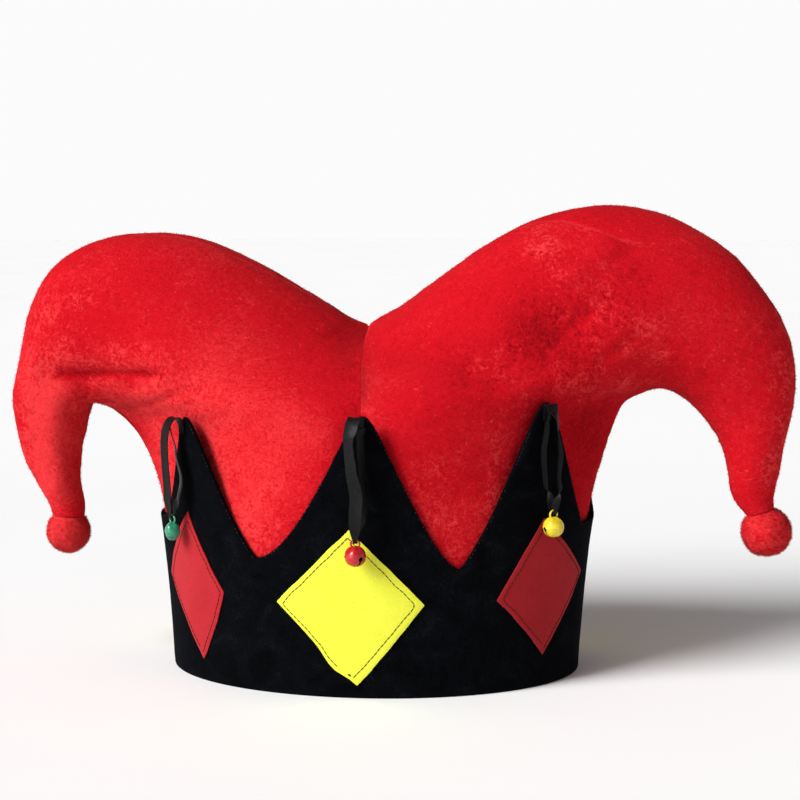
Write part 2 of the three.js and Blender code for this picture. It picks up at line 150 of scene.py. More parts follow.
# The six points: along, tip, valley, notch, fall, rise, drop, hang, aside, middle, wide, tall,
# tilt, spin.
POINTS = np.array([
    [2.2, 131.5, 60, 0.529, 1.5, 1.25, 55.1, -2.5, -3, 42.8, 66.3, 72.8, 1.2, -50],
    [-7.2, 135.3, 75, 0.325, 1.45, 4.1, 49.4, -0.2, -2, 47.8, 55, 66.4, 7.2, -6],
    [-3.8, 130, 65, 0.5, 1.4, 1.4, 50, 0, -3.8, 43, 60, 72, -2, 20],
    [0, 131, 65, 0.5, 1.4, 1.4, 54, 1, 2, 43, 67, 73, 2, -35],
    [3.8, 129, 75, 0.565, 6, 3.9, 49, 0, 3.8, 44, 58, 70, -3, 70],
    [5.9, 126.5, 63.7, 0.418, 1.26, 1.75, 46.4, -2.9, 4.9, 46.2, 43.4, 70.2, 0, 56],
])
ALONG, TIP, VALLEY, NOTCH, FALL, RISE, DROP, HANG = POINTS.T[:8]
ASIDE, MIDDLE, WIDE, TALL, TILT, SPIN = POINTS.T[8:]
COUNT = len(POINTS)


# Meshes
# A mesh here is its points and a list of arrays of faces, each with as many corners as columns.

def grid_faces(rows, columns, wrap_rows=False, wrap_columns=False):
    """Quads of a grid of rows by columns points, which may be joined round."""
    index = np.arange(rows * columns).reshape(rows, columns)
    index = np.pad(index, ((0, int(wrap_rows)), (0, int(wrap_columns))), "wrap")
    corners = index[:-1, :-1], index[:-1, 1:], index[1:, 1:], index[1:, :-1]
    return np.stack(corners, -1).reshape(-1, 4)


def outward(points, faces):
    """A closed mesh, with its faces turned to give it a positive volume."""
    volume = 0.0
    for array in faces:
        a = points[array[:, 0]]
        for k in range(1, array.shape[1] - 1):
            volume += (a * np.cross(points[array[:, k]], points[array[:, k + 1]])).sum()
    return points, faces if volume > 0 else [array[:, ::-1] for array in faces]


def wall_mesh(outer, inner):
    """A closed wall between two grids of points."""
    rows, columns = outer.shape[:2]
    count = rows * columns
    faces = grid_faces(rows, columns)
    edge = np.arange(count).reshape(rows, columns)
    loop = np.concatenate([edge[0], edge[1:, -1], edge[-1, -2::-1], edge[-2:0:-1, 0]])
    after = np.roll(loop, -1)
    rim = np.stack([loop, loop + count, after + count, after], -1)
    points = np.concatenate([outer.reshape(-1, 3), inner.reshape(-1, 3)])
    return outward(points, [np.concatenate([faces, faces[:, ::-1] + count, rim])])


def tube(grid, wrap_rows=True):
    """A mesh from a grid of points whose columns, and maybe rows, are joined round."""
    return outward(grid.reshape(-1, 3), [grid_faces(*grid.shape[:2], wrap_rows, True)])


def joined(*meshes):
    """Several meshes as one."""
    points, faces, start = [], [], 0
    for some, arrays in meshes:
        points.append(some)
        faces += [array + start for array in arrays]
        start += len(some)
    return np.concatenate(points), faces


def mesh_data(name, mesh):
    points, faces = mesh
    data = bpy.data.meshes.new(name)
    data.from_pydata(points.tolist(), [], [face for array in faces for face in array.tolist()])
    return data


def from_form(form):
    """A mesh from a form of bmesh, which is freed."""
    points = np.array([v.co for v in form.verts])
    faces = np.array([[v.index for v in f.verts] for f in form.faces])
    form.free()
    return points, faces


def in_frame(points):
    """Points in metres in the frame, from millimetres round the centre seam."""
    return points * MM + np.array([SEAM_X, 0, 0])


def piece(name, mesh, material, replaces=(), sharp=50, marks=None, normals=None):
    """A shown piece from a mesh in millimetres. marks are numbers on its points, by name.

    A point whose own normal is zero keeps the normals of its faces.
    """
    points, faces = mesh
    data = mesh_data(name, (in_frame(points), faces))
    for label, values in (marks or {}).items():
        layer = data.attributes.new(label, "FLOAT", "POINT")
        layer.data.foreach_set("value", np.asarray(values, np.float32))
    data.materials.append(material)
    data.polygons.foreach_set("use_smooth", [True] * len(data.polygons))
    data.set_sharp_from_angle(angle=math.radians(sharp))
    if normals is not None:
        data.normals_split_custom_set(np.concatenate([normals[array.ravel()] for array in faces]))
    made = in_scene(name, data)
    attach(made, BODY)
    if replaces:
        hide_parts(*replaces)
    return made


def catmull(rows, at):
    """Rows of a table at fractional row numbers, on a smooth curve through them."""
    rows = np.asarray(rows, float)
    padded = np.vstack([2 * rows[0] - rows[1], rows, 2 * rows[-1] - rows[-2]])
    at = np.clip(np.asarray(at, float), 0, len(rows) - 1)
    i = np.minimum(at.astype(int), len(rows) - 2)
    p = (at - i)[..., None]
    a, b, c, d = (padded[i + k] for k in range(4))
    return b + p * (c - a + p * (2 * a - 5 * b + 4 * c - d + p * (3 * b - a - 3 * c + d))) / 2


UP = np.array([0.0, 0.0, 1.0])


def unit(v):
    return v / np.maximum(np.linalg.norm(v, axis=-1, keepdims=True), 1e-9)


def turns(count):
    """Angles of even steps once round."""
    return np.linspace(0, 2 * np.pi, count, endpoint=False)


def hump(x, height, width):
    """A height at zero that falls smoothly to nothing over about two widths."""
    return height * np.exp(-((x / width) ** 2))


def falling(x, height, reach):
    """A height at zero that falls at once, by two thirds over each reach."""
    return height * np.exp(-x / reach)


def smooth_step(low, high, x):
    s = np.clip((x - low) / (high - low), 0, 1)
    return s * s * (3 - 2 * s)


# The slopes of the noise, and the factors that mix up its cells.
WAYS = np.array([
    way for way in itertools.product((-1, 0, 1), repeat=3) if sum(map(abs, way)) == 2
], float)
PRIMES = np.array([73856093, 19349663, 83492791], np.uint32)
MIX_FACTOR, SEED_STEP = np.uint32(1274126177), 97


def ripple(points, size, seed=0):
    """Smooth noise from about -1 to 1 with features of about size millimetres."""
    at = np.asarray(points) / size
    cell = np.floor(at).astype(np.int64)
    part = at - cell
    fade = part**3 * (part * (part * 6 - 15) + 10)
    total = np.zeros(at.shape[:-1])
    for corner in itertools.product((0, 1), repeat=3):
        mixed = (cell + corner + SEED_STEP * seed).astype(np.uint32) * PRIMES
        mixed = mixed[..., 0] ^ mixed[..., 1] ^ mixed[..., 2]
        mixed = (mixed ^ (mixed >> np.uint32(13))) * MIX_FACTOR
        way = WAYS[(mixed ^ (mixed >> np.uint32(16))) % len(WAYS)]
        weight = np.where(corner, fade, 1 - fade).prod(-1)
        total += weight * ((part - corner) * way).sum(-1)
    return total


def ripples(points, layers, seed=0):
    """A sum of noises, from layers of height, size and seed."""
    return sum(height * ripple(points, size, seed + own) for height, size, own in layers)


def along_columns(grid):
    """Distance of each point of a grid from its row's first point."""
    gaps = np.linalg.norm(np.diff(grid, axis=1), axis=-1)
    return np.concatenate([np.zeros((len(grid), 1)), np.cumsum(gaps, axis=1)], axis=1)


def on_line(at, run, line):
    """Points of a line at distances along it, from its own points' distances."""
    return np.stack([np.interp(at, run, line[:, k]) for k in range(3)], -1)


# The crown

def near_line(x, z, fold):
    """Distance from the points (x, z) to a fold's line."""
    start, end = np.array(fold[:2]), np.array(fold[2:4])
    way = end - start
    share = np.clip(((x - start[0]) * way[0] + (z - start[1]) * way[1]) / (way @ way), 0, 1)
    return np.hypot(x - start[0] - share * way[0], z - start[1] - share * way[1])


def fold_depth(folds, x, z):
    return sum(hump(near_line(x, z, fold), *fold[4:]) for fold in folds)


def strokes(rows, points):
    """The depth or tone of a list of folds or strokes at points of either horn."""
    return fold_depth(rows, np.abs(points[..., 0]), points[..., 2])


def crown_points(side, rows, folds, face, u, t, inset=0.0):
    """Points of the crown: u runs from rim to horn end, t from the top seam to the low one."""
    section = catmull(rows, np.asarray(u) * (len(rows) - 1))
    top_x, top_z, low_x, low_z, depth, opened, pinch, seam = np.moveaxis(section, -1, 0)
    opened = np.clip(opened, 0, 1)
    span = np.hypot(low_x - top_x, low_z - top_z)
    step_x, step_z = inset * (low_x - top_x) / span, inset * (low_z - top_z) / span
    top_x, top_z = top_x + step_x * (1 - opened), top_z + step_z * (1 - opened)
    low_x, low_z = low_x - step_x, low_z - step_z
    turn = opened * np.pi / 2
    clear = SEAM_GAP / 2 / depth
    start = turn + face * np.radians(seam) + clear
    angle = start + (np.pi - clear - start) * t
    share = (np.cos(turn) - np.cos(angle)) / (np.cos(turn) + 1)
    power = 1 + (pinch - 1) * np.maximum(share, opened)
    bulge = np.sign(angle) * np.abs(np.sin(angle)) ** power
    x = top_x + (low_x - top_x) * share
    z = top_z + (low_z - top_z) * share
    dent = fold_depth(folds, x, z) if face > 0 else 0
    y = -face * (depth - inset - dent) * bulge
    return np.stack([side * (np.maximum(x, 0) + SEAM_GAP / 2), y, z], -1)


# Rows, columns and fibres of a panel on the front (1) and on the back (-1).
CROWN_GRIDS = {1: (200, 96, 30000), -1: (150, 72, 14000)}
# A panel's rows are spaced evenly along this share of the way across, in so many samples.
SPACED_ALONG, SPACING_SAMPLES = 0.45, 400
# The fibres, the height from which they show, how far they stand up and are brushed down, and the
# middle and spread of their tones against the panel's; the middle is a little lighter, as painted
# light on the fibre tips.
PILE, PILE_FROM = {"length": 1.5, "shortest": 0.5, "radius": 0.12}, 58.0
PILE_STANDS, PILE_BRUSHED, PILE_TONES = 0.7, 0.35, (0.05, 0.1)
# Sections that are at least this far open meet at the centre seam, closed ones on the ridges.
CENTRE_OPEN = 0.5
# The centre seam is drawn in: its depth, how far the left (-1) and the right lobe slope down to it,
# and the heights between which it sets in and fades.
SEAM_DEPTH, SEAM_SLOPES = 4.2, {-1: 17.0, 1: 8.0}
SEAM_SETS_IN, SEAM_FADES = (95, 125), (126, 168)
# How far from the seam the two lobes bend to meet at one depth, and points don't move aside.
SEAM_MEET, SEAM_STILL = 14.0, 8.0
# The valley between the horns: its height, how far round and how many times it is softened, and how
# far it leans to the left, within a reach.
VALLEY_TOP, VALLEY_REACH, VALLEY_TIMES, VALLEY_LEAN = 164.0, 36.0, 60, (3.4, 16.0)
# How far the ridge's seam and the low seam are drawn in, within a reach.
RIDGE_SINK, LOW_SINK = (0.4, 1.2), (0.9, 1.4)
# Layers of noise: puckers within a reach of the seams, swells of the cloth, lumps of the nap, how
# creases and strokes of the nap and of painted light and shade wander, its uneven tone, and its
# patches between two levels.
PUCKERS, PUCKER_REACH, SWELLS = [(0.45, 4.5, 2)], 7.0, [(0.7, 34, 28)]
LUMPS = [(0.20, 7, 11), (0.14, 2.6, 15)]
CREASE_WANDER, STROKE_WANDER = [(1.5, 14, 7)], [(4, 22, 3), (2, 6, 4)]
UNEVEN, PATCHES, PATCH_LEVELS = [(0.10, 26, 2)], [(1, 13, 8), (0.5, 5, 6)], (-0.15, 0.45)
# The tone of the front (1) and the back, and what crushed nap adds to it.
FACE_TONES, CRUSHED_TONE = {1: 0.56, -1: 0.44}, 0.14
# How crushed the nap is all over and in patches, then what a stroke adds all over and in patches.
CRUSHED_SHARES, STROKE_SHARES = (0.15, 0.15), (0.45, 0.75)
# A painted sheen on the ridge's seam, as a light line: its tone and width, and how far out along the
# horns it fades.
RIDGE_LINE, RIDGE_LINE_FADES = (0.3, 1.1), (112, 146)
# On the back the ridge is lighter, within a reach, and how far out along the horns that sets in.
HORN_TONE, HORN_SETS_IN = (0.2, 25.0), (115, 150)
# Creases pressed into the plush of the front panels, finer than the solids' folds.
RIGHT_CREASES = [
    [60, 150, 88, 168, 3.4, 15],
    [96, 168, 122, 194, 1.2, 12],
    [56, 146, 116, 143, -1.4, 7],
    [92, 184, 110, 205, -1.2, 8],
    [120, 168, 150, 152, -1.2, 10],
    [92, 184, 123, 205, 0.7, 2.6],
    [108, 152, 126, 166, 0.8, 2.8],
    [86, 160, 104, 176, 0.7, 2.4],
]
LEFT_CREASES = [
    [108, 143, 158, 141, -1.5, 8],
    [98, 146, 150, 144, 1.3, 2.2],
    [98, 153, 148, 152, -0.8, 6],
    [106, 134, 150, 133, -1.2, 6],
    [155, 120, 154, 90, -2.4, 7],
    [170, 122, 166, 92, 1.2, 7],
    [118, 122.5, 126, 125, 0.6, 1.5],
]
# Painted light and shade on the front panels, partly the nap lying lighter or darker: painted
# shade in creases, hollows, along the left side of the centre seam and under the right point, and
# painted light on what faces the light: fromX, fromZ, toX, toZ, tone, width.
RIGHT_NAP_AND_SHADE = [
    [58, 152, 86, 178, -0.20, 26],
    [88, 160, 110, 178, -0.15, 18],
    [60, 149, 98, 140, 0.05, 6],
    [116, 212, 126, 192, -0.14, 8],
    [98, 141, 126, 139, 0.06, 6],
    [84, 200, 106, 186, 0.08, 12],
    [104, 130, 98, 85, -0.26, 15],
    [2, 152, 2, 118, 0.08, 5],
]
LEFT_NAP_AND_SHADE = [
    [0, 138, 8, 150, -0.22, 20],
    [0, 120, 0, 152, -0.16, 7],
    [34, 118, 66, 84, 0.18, 26],
    [70, 140, 100, 112, 0.14, 30],
    [96, 146, 152, 144, -0.30, 1.8],
    [104, 134, 124, 130, 0.14, 9],
    [158, 130, 162, 88, 0.30, 16],
]
# Where the nap is crushed into light tufts: fromX, fromZ, toX, toZ, share, width.
RIGHT_CRUSHED = [
    [86, 202, 108, 176, 1.0, 15],
    [66, 158, 108, 172, 0.25, 14],
    [60, 152, 98, 140, 0.9, 10],
    [96, 146, 126, 140, 0.8, 8],
    [120, 178, 136, 154, 0.5, 10],
    [198, 168, 195, 100, 0.7, 9],
    [34, 100, 46, 66, 0.7, 11],
    [70, 120, 60, 86, 0.5, 10],
]
LEFT_CRUSHED = [
    [94, 153, 148, 152, 0.9, 8],
    [86, 135, 132, 132, 1.0, 11],
    [144, 186, 164, 150, 0.8, 13],
    [164, 140, 168, 92, 0.9, 14],
    [80, 124, 44, 68, 0.8, 15],
    [96, 112, 102, 90, 0.8, 12],
]


# Fibres: their sides, how far they stray, how deep they are rooted, and a way that few of them take.
FIBRE_SIDES, FIBRE_STRAY, FIBRE_ROOT = 3, 0.5, 0.2
FIBRE_ASKEW = np.array([0.31, 0.52, 0.79])


def fibres(draw, roots, ways, *, length, shortest, radius):
    """Slim spikes on roots that stray from ways, each from a shortest share to all of a length."""
    ways = unit(ways + FIBRE_STRAY * draw.normal(size=roots.shape))
    tips = roots + ways * (length * draw.uniform(shortest, 1, (len(roots), 1)))
    across = unit(np.cross(ways, FIBRE_ASKEW))
    beside = np.cross(ways, across)
    turn = turns(FIBRE_SIDES)[:, None]
    foot = roots[:, None] + radius * (np.cos(turn) * across[:, None] + np.sin(turn) * beside[:, None])
    points = np.concatenate([foot, tips[:, None]], axis=1).reshape(-1, 3)
    start = np.arange(len(roots))[:, None] * (FIBRE_SIDES + 1)
    sides = [
        np.concatenate([start + k, start + (k + 1) % FIBRE_SIDES, start + FIBRE_SIDES], 1)
        for k in range(FIBRE_SIDES)
    ]
    base = np.concatenate([start + k for k in reversed(range(FIBRE_SIDES))], 1)
    return outward(points, [np.concatenate(sides + [base])])


def between(grid, at):
    """Points of a grid at fractional rows and columns."""
    i = np.minimum(at.astype(int), np.array(grid.shape[:2]) - 2)
    p = at - i
    a, b = i[:, 0], i[:, 1]
    pa, pb = p[:, :1], p[:, 1:]
    return (
        grid[a, b] * (1 - pa) * (1 - pb) + grid[a + 1, b] * pa * (1 - pb)
        + grid[a, b + 1] * (1 - pa) * pb + grid[a + 1, b + 1] * pa * pb
    )


def pile(outer, normal, tone, count, seed):
    """Plush fibres over what shows of a panel, with the tone of each and the way up at its root."""
    draw = np.random.default_rng(seed)
    sides = outer[1:, :-1] - outer[:-1, :-1], outer[:-1, 1:] - outer[:-1, :-1]
    area = np.linalg.norm(np.cross(*sides), axis=-1) * (outer[:-1, :-1, 2] > PILE_FROM)
    picked = draw.choice(area.size, count, p=area.ravel() / area.sum())
    at = np.stack(np.unravel_index(picked, area.shape), -1) + draw.random((count, 2))
    roots, up = between(outer, at), unit(between(normal, at))
    ways = PILE_STANDS * up - PILE_BRUSHED * UP
    made = fibres(draw, roots - FIBRE_ROOT * up, ways, **PILE)
    tones = between(tone[..., None], at)[:, 0] + draw.normal(*PILE_TONES, count)
    return made, tones, up


def plush_piece(name, solid, skin, nap_and_shade, crushed, fuzz, tones, ups):
    """A piece of plush: a skin with the tone of its points, the nap with painted light and shade, the
    crushed share of its points, and its fibres.
    """
    tones, ups = (np.repeat(values, FIBRE_SIDES + 1, axis=0) for values in (tones, ups))
    marks = {"nap_and_shade": np.append(nap_and_shade, tones), "crushed": np.append(crushed, 0 * tones)}
    normals = np.concatenate([0 * skin[0], ups])
    mesh = joined(skin, fuzz)
    return piece(name, mesh, PLUSH, [solid], marks=marks, normals=normals)


def surface_normals(outer, inner):
    """Normals of an outer grid, away from an inner one."""
    normal = unit(np.cross(np.gradient(outer, axis=0), np.gradient(outer, axis=1)))
    return normal if ((outer - inner) * normal).sum() > 0 else -normal


def softened(grid, share, times):
    """A grid with its inner points drawn to the middle of their neighbours by a share each time."""
    grid = grid.copy()
    for _ in range(times):
        mean = (grid[:-2, 1:-1] + grid[2:, 1:-1] + grid[1:-1, :-2] + grid[1:-1, 2:]) / 4
        grid[1:-1, 1:-1] += share[1:-1, 1:-1, None] * (mean - grid[1:-1, 1:-1])
    return grid


def panel_walls(side, rows, folds, face):
    """A panel's outer and inner points, how far they are at the centre seam, and their room to move."""
    coarse = np.linspace(0, 1, SPACING_SAMPLES)
    middle = crown_points(side, rows, folds, face, coarse, np.full_like(coarse, SPACED_ALONG))
    length = along_columns(middle[None])[0]
    grid_rows, grid_columns, _ = CROWN_GRIDS[face]
    u = np.interp(np.linspace(0, length[-1], grid_rows), length, coarse)[:, None]
    u, t = np.broadcast_arrays(u, np.linspace(0, 1, grid_columns)[None])
    outer, inner = (crown_points(side, rows, folds, face, u, t, inset) for inset in (0, PLUSH_WALL))
    opened = catmull(rows, u * (len(rows) - 1))[..., 5]
    centre = smooth_step(0, CENTRE_OPEN, opened)
    other = RIGHT_ROWS if side < 0 else LEFT_ROWS
    beside = crown_points(-side, other, [], face, u[:, :1], t[:, :1])
    step = (beside[..., 1] - outer[:, :1, 1]) / 2
    meet = hump(outer[..., 0], step * centre, SEAM_MEET)
    outer[..., 1] += meet
    inner[..., 1] += meet
    from_valley = np.hypot(outer[..., 0], outer[..., 2] - VALLEY_TOP)
    valley = hump(from_valley, 1, VALLEY_REACH)
    outer, inner = (softened(grid, valley, VALLEY_TIMES) for grid in (outer, inner))
    room = np.ones_like(outer)
    room[..., 0] -= hump(outer[..., 0], 1, SEAM_STILL)
    lean = hump(from_valley, *VALLEY_LEAN)[..., None] * [1, 0, 0]
    return outer - lean, inner - lean, centre, room


def crown_panel(name, side, rows, folds, creases, naps_and_shade, crushes, face, seed):
    outer, inner, centre, room = panel_walls(side, rows, folds, face)
    normal = surface_normals(outer, inner)
    from_top = along_columns(outer)
    from_low = from_top[:, -1:] - from_top
    out_along = np.abs(outer[..., 0])
    drawn = smooth_step(*SEAM_SETS_IN, outer[..., 2]) * (1 - smooth_step(*SEAM_FADES, outer[:, :1, 2]))
    sink = falling(from_top, SEAM_DEPTH * drawn, SEAM_SLOPES[side]) + ripples(outer, SWELLS)
    sink += (1 - centre) * falling(from_top, *RIDGE_SINK) + falling(from_low, *LOW_SINK)
    sink += falling(np.minimum(from_top, from_low), ripples(outer, PUCKERS), PUCKER_REACH)
    tone = FACE_TONES[face] + ripples(outer, UNEVEN, seed)
    patchy = smooth_step(*PATCH_LEVELS, ripples(outer, PATCHES, seed))
    crushed = CRUSHED_SHARES[0] + CRUSHED_SHARES[1] * patchy
    if face > 0:
        sink += strokes(creases, outer + ripples(outer, CREASE_WANDER, seed)[..., None])
        wandered = outer + ripples(outer, STROKE_WANDER, seed)[..., None]
        # Painted light and shade, together with the nap's own tone, along the strokes.
        tone += strokes(naps_and_shade, wandered)
        crushed += strokes(crushes, wandered) * (STROKE_SHARES[0] + STROKE_SHARES[1] * patchy)
        crushed = np.clip(crushed, 0, 1)
    else:
        tone += falling(from_top, *HORN_TONE) * smooth_step(*HORN_SETS_IN, out_along)
    # A painted sheen along the ridge's seam, fading out along the horns.
    ridge_sheen = (1 - centre) * (1 - smooth_step(*RIDGE_LINE_FADES, out_along))
    tone += CRUSHED_TONE * crushed + ridge_sheen * hump(from_top, *RIDGE_LINE)
    inner = inner - normal * sink[..., None] * room
    outer = outer + normal * (ripples(outer, LUMPS) - sink)[..., None] * room
    fuzz = pile(outer, surface_normals(outer, inner), tone, CROWN_GRIDS[face][2], seed)
    # The tone on the points holds the nap with painted light and shade.
    nap_and_shade, crushed = (np.tile(values.ravel(), 2) for values in (tone, crushed))
    plush_piece(f"plush_{name}", name, wall_mesh(outer, inner), nap_and_shade, crushed, *fuzz)


# Rim, cuff and felt

RIM_TURN = np.linspace(-np.pi / 2, 3 * np.pi / 2, 2001)
RIM_LINE = np.stack([RIM_HALF_WIDTH * np.cos(RIM_TURN), RIM_HALF_DEPTH * np.sin(RIM_TURN)], -1)
RIM_RUN = along_columns(RIM_LINE[None])[0]
RIM_LENGTH = RIM_RUN[-1]


def rim_turn(share):
    return np.interp((share % 1) * RIM_LENGTH, RIM_RUN, RIM_TURN)


def outwards(share):
    turn = rim_turn(share)
    return unit(np.stack([
        RIM_HALF_DEPTH * np.cos(turn), RIM_HALF_WIDTH * np.sin(turn), np.zeros_like(turn)
    ], -1))


HALVINGS = 22


def plush_at(share, z):
    """The body's outside at a share of the way round the rim and a height."""
    turn = rim_turn(share)
    x, y = np.cos(turn), np.sin(turn)
    t = np.arctan2(np.abs(x), np.abs(y)) / (np.pi / 2)
    found = np.zeros(np.broadcast(share, z).shape + (3,))
    for side, rows in ((1, RIGHT_ROWS), (-1, LEFT_ROWS)):
        for face in (1, -1):
            here = ((x < 0) == (side < 0)) & ((y > 0) == (face < 0))
            if not here.any():
                continue
            zz, tt = np.broadcast_to(z, here.shape)[here], t[here]
            under, over = np.zeros_like(tt), np.full_like(tt, 0.5)
            for _ in range(HALVINGS):
                middle = (under + over) / 2
                low = crown_points(side, rows, [], face, middle, tt)[..., 2] < zz
                under, over = np.where(low, middle, under), np.where(low, over, middle)
            found[here] = crown_points(side, rows, [], face, under, tt)
    found[..., 2] = z
    return found


def cuff_points(share, z, offset):
    share, z, offset = np.broadcast_arrays(*(np.asarray(v, float) for v in (share, z, offset)))
    out = outwards(share)
    foot = plush_at(share, np.minimum(z, CUFF_FREE_FROM))
    free = CUFF_SLOPE * np.maximum(0, z - CUFF_FREE_FROM)
    pushed = ((plush_at(share, z) - foot) * out).sum(-1)
    made = foot + out * (CUFF_STANDOFF + np.maximum(free, pushed) + offset)[..., None]
    made[..., 2] = z
    return made


def tip_share(index):
    return index / COUNT + ALONG[index % COUNT] / RIM_LENGTH


def edge_drop(q, run, flare):
    """How far the cuff's edge has come down from a tip (q is 0) to a dip (q is 1)."""
    bend = TIP_ROUND / run
    soft = (np.hypot(q, bend) - bend) / (np.hypot(1, bend) - bend)
    return 1 - (1 - soft) ** flare


def cuff_edge(columns):
    """Shares round the cuff and the height of its edge there, from tip to dip and up again."""
    shares, heights = [], []
    for index in range(COUNT):
        start, end = tip_share(index), tip_share(index + 1)
        dip = start + (end - start) * NOTCH[index]
        q = np.arange(columns) / columns
        for tip, at, share, flare in (
            (TIP[index], start, q, FALL[index]),
            (TIP[(index + 1) % COUNT], end, 1 - q, RISE[index]),
        ):
            shares.append(at + (dip - at) * share)
            drop = edge_drop(share, abs(dip - at) * RIM_LENGTH, flare)
            heights.append(tip + (VALLEY[index] - tip) * drop)
    return np.concatenate(shares), np.concatenate(heights)


CUFF_COLUMNS, CUFF_ROWS, CUFF_TURN_ROWS = 54, 20, 6
# The cuff's nap, as layers of noise, and the height over which it sets in.
CUFF_NAP, CUFF_NAP_FROM = [(0.10, 3.0, 31), (0.3, 30, 37)], 6.0
# The fibres on its cut edge: how many, how far below the edge and to both sides they are rooted, and
# how far they stand up and lean out.
EDGE_FIBRES, EDGE_COUNT, EDGE_SEED = {"length": 1.5, "shortest": 0.4, "radius": 0.09}, 5200, 5
EDGE_DEPTH, EDGE_SPREAD, EDGE_STANDS, EDGE_LEANS = 0.3, 0.7, 0.8, 0.35
# The stitches along that edge, and how far below it they run. Their grey thread, lighter than the
# velvet, is painted glints along the edge.
EDGE_STITCHES = {"pitch": 1.9, "length": 0.9, "radius": 0.12, "kept": 0.55}
EDGE_STITCH_DROP = 0.9


def closed(line):
    return np.concatenate([line, line[:1]])


def make_cuff():
    shares, heights = cuff_edge(CUFF_COLUMNS)
    half = CUFF_WALL / 2
    rise = np.linspace(0, 1, CUFF_ROWS)[:, None]
    turn = np.linspace(0, np.pi, CUFF_TURN_ROWS)[1:-1, None]
    top = heights[None] - half
    z = np.concatenate([
        half + (top - half) * rise,
        top + half * np.sin(turn),
        half + (top - half) * rise[::-1],
        half - half * np.sin(turn) + 0 * top,
    ])
    offset = np.concatenate([
        CUFF_WALL + 0 * rise,
        half + half * np.cos(turn),
        0 * rise,
        half - half * np.cos(turn),
    ])
    grid = cuff_points(shares[None], z, offset)
    out = outwards(np.broadcast_to(shares[None], z.shape))
    shown = smooth_step(half, CUFF_WALL, offset) * smooth_step(0, CUFF_NAP_FROM, z)
    grid = grid + out * (ripples(grid, CUFF_NAP) * shown)[..., None]
    edge = closed(cuff_points(shares, heights - EDGE_DEPTH, half))
    run = along_columns(edge[None])[0]
    draw = np.random.default_rng(EDGE_SEED)
    at = np.sort(draw.uniform(0, run[-1], EDGE_COUNT))
    sides = outwards(np.interp(at, run, np.append(shares, shares[0] + 1)))
    roots = on_line(at, run, edge) + sides * EDGE_SPREAD * draw.uniform(-1, 1, (EDGE_COUNT, 1))
    fuzz = fibres(draw, roots, EDGE_STANDS * UP + EDGE_LEANS * sides, **EDGE_FIBRES)
    piece("cuff_velvet", joined(tube(grid), fuzz), VELVET, ["cuff"])
    line = closed(cuff_points(shares, heights - EDGE_STITCH_DROP, CUFF_WALL))
    sewn = stitches(line, outwards(np.append(shares, 1.0)), **EDGE_STITCHES)
    piece("cuff_stitches", sewn, EDGE_GLINT_THREAD)


# Thread

STITCH_SIDES, STITCH_RINGS, STITCH_BLUNT, STITCH_SEED = 6, 5, 0.02, 3


def stitches(line, normals, pitch, length, radius, kept=1.0):
    """Short rounded stitches along a line of points, sunk halfway into what they lie on."""
    run = along_columns(line[None])[0]
    draw = np.random.default_rng(STITCH_SEED)
    ring = turns(STITCH_SIDES)[:, None]
    ends = np.linspace(0, np.pi, STITCH_RINGS)[:, None, None]
    thick = radius * np.sqrt(np.maximum(np.sin(ends), STITCH_BLUNT))
    meshes = []
    for at in np.arange(pitch / 2, run[-1] - pitch / 2, pitch):
        if draw.random() > kept:
            continue
        a, b = (on_line(at + reach, run, line) for reach in (-length / 2, length / 2))
        up = unit(on_line(at, run, normals))
        across = np.cross(up, unit(b - a))
        round_it = np.cos(ring) * across + np.sin(ring) * up
        body = (a + b) / 2 - np.cos(ends) * (b - a) / 2 + thick * round_it
        meshes.append(tube(body, False))
    return joined(*meshes)


FELT_CELLS = 42
# The seam of each diamond: its distance from the lower right, upper right, upper left and lower left
# edge, then the shares of the last side at which it stops and at which its knot lies.
FELT_SEAMS = [
    [3.4, 2.9, 2.2, 1.6, 0.87, 0.955],
    [2.0, 2.2, 2.4, 2.2, 1.0, 0],
    [2.6, 2.4, 2.6, 2.8, 1.0, 0],
    [2.8, 2.6, 2.4, 2.6, 1.0, 0],
    [2.4, 2.6, 2.4, 2.6, 1.0, 0],
    [1.8, 1.9, 2.6, 2.0, 1.0, 0],
]
# How far the same four edges bow outwards.
FELT_BOWS = [
    [0.5, 0.0, -0.2, 0.0],
    [0.4, 0.5, 0.0, -0.4],
    [0.3, -0.2, 0.4, 0.0],
    [0.0, 0.4, -0.2, 0.3],
    [0.2, 0.0, 0.3, -0.3],
    [1.2, -1.4, 1.5, 0.4],
]
# How far each diamond's bottom, right, top and left corner lies from a plain diamond's: aside, up.
FELT_CORNERS = [
    [[1.5, 0], [-0.8, 0.7], [-0.3, 0], [-1.8, 2.0]],
    [[-1.9, 1.1], [1.2, 0], [0, 0], [2.6, -0.3]],
    [[0.6, 0.4], [-0.8, 0], [0, 0.5], [0.4, 0]],
    [[-0.8, 0], [0.5, 0.6], [0.3, 0], [0, -0.4]],
    [[0.5, -0.3], [0, 0.6], [-0.6, 0], [0.7, 0]],
    [[2.8, -0.3], [-2.9, -0.8], [0, 0], [-1.4, 2.2]],
]
# How light each diamond is, about a middle of zero: the second one is darker as painted shade, the
# others as their dye came out.
FELT_DYE_AND_SHADE = [0.0, -0.1, 0.02, -0.03, 0.03, 0.0]
# The bulge of the first diamond's lower left edge: its height and reach, where it is, and its width.
FELT_BULGE, FELT_BULGE_AT, FELT_BULGE_WIDTH = (1.82, 0.16), 0.27, 0.17
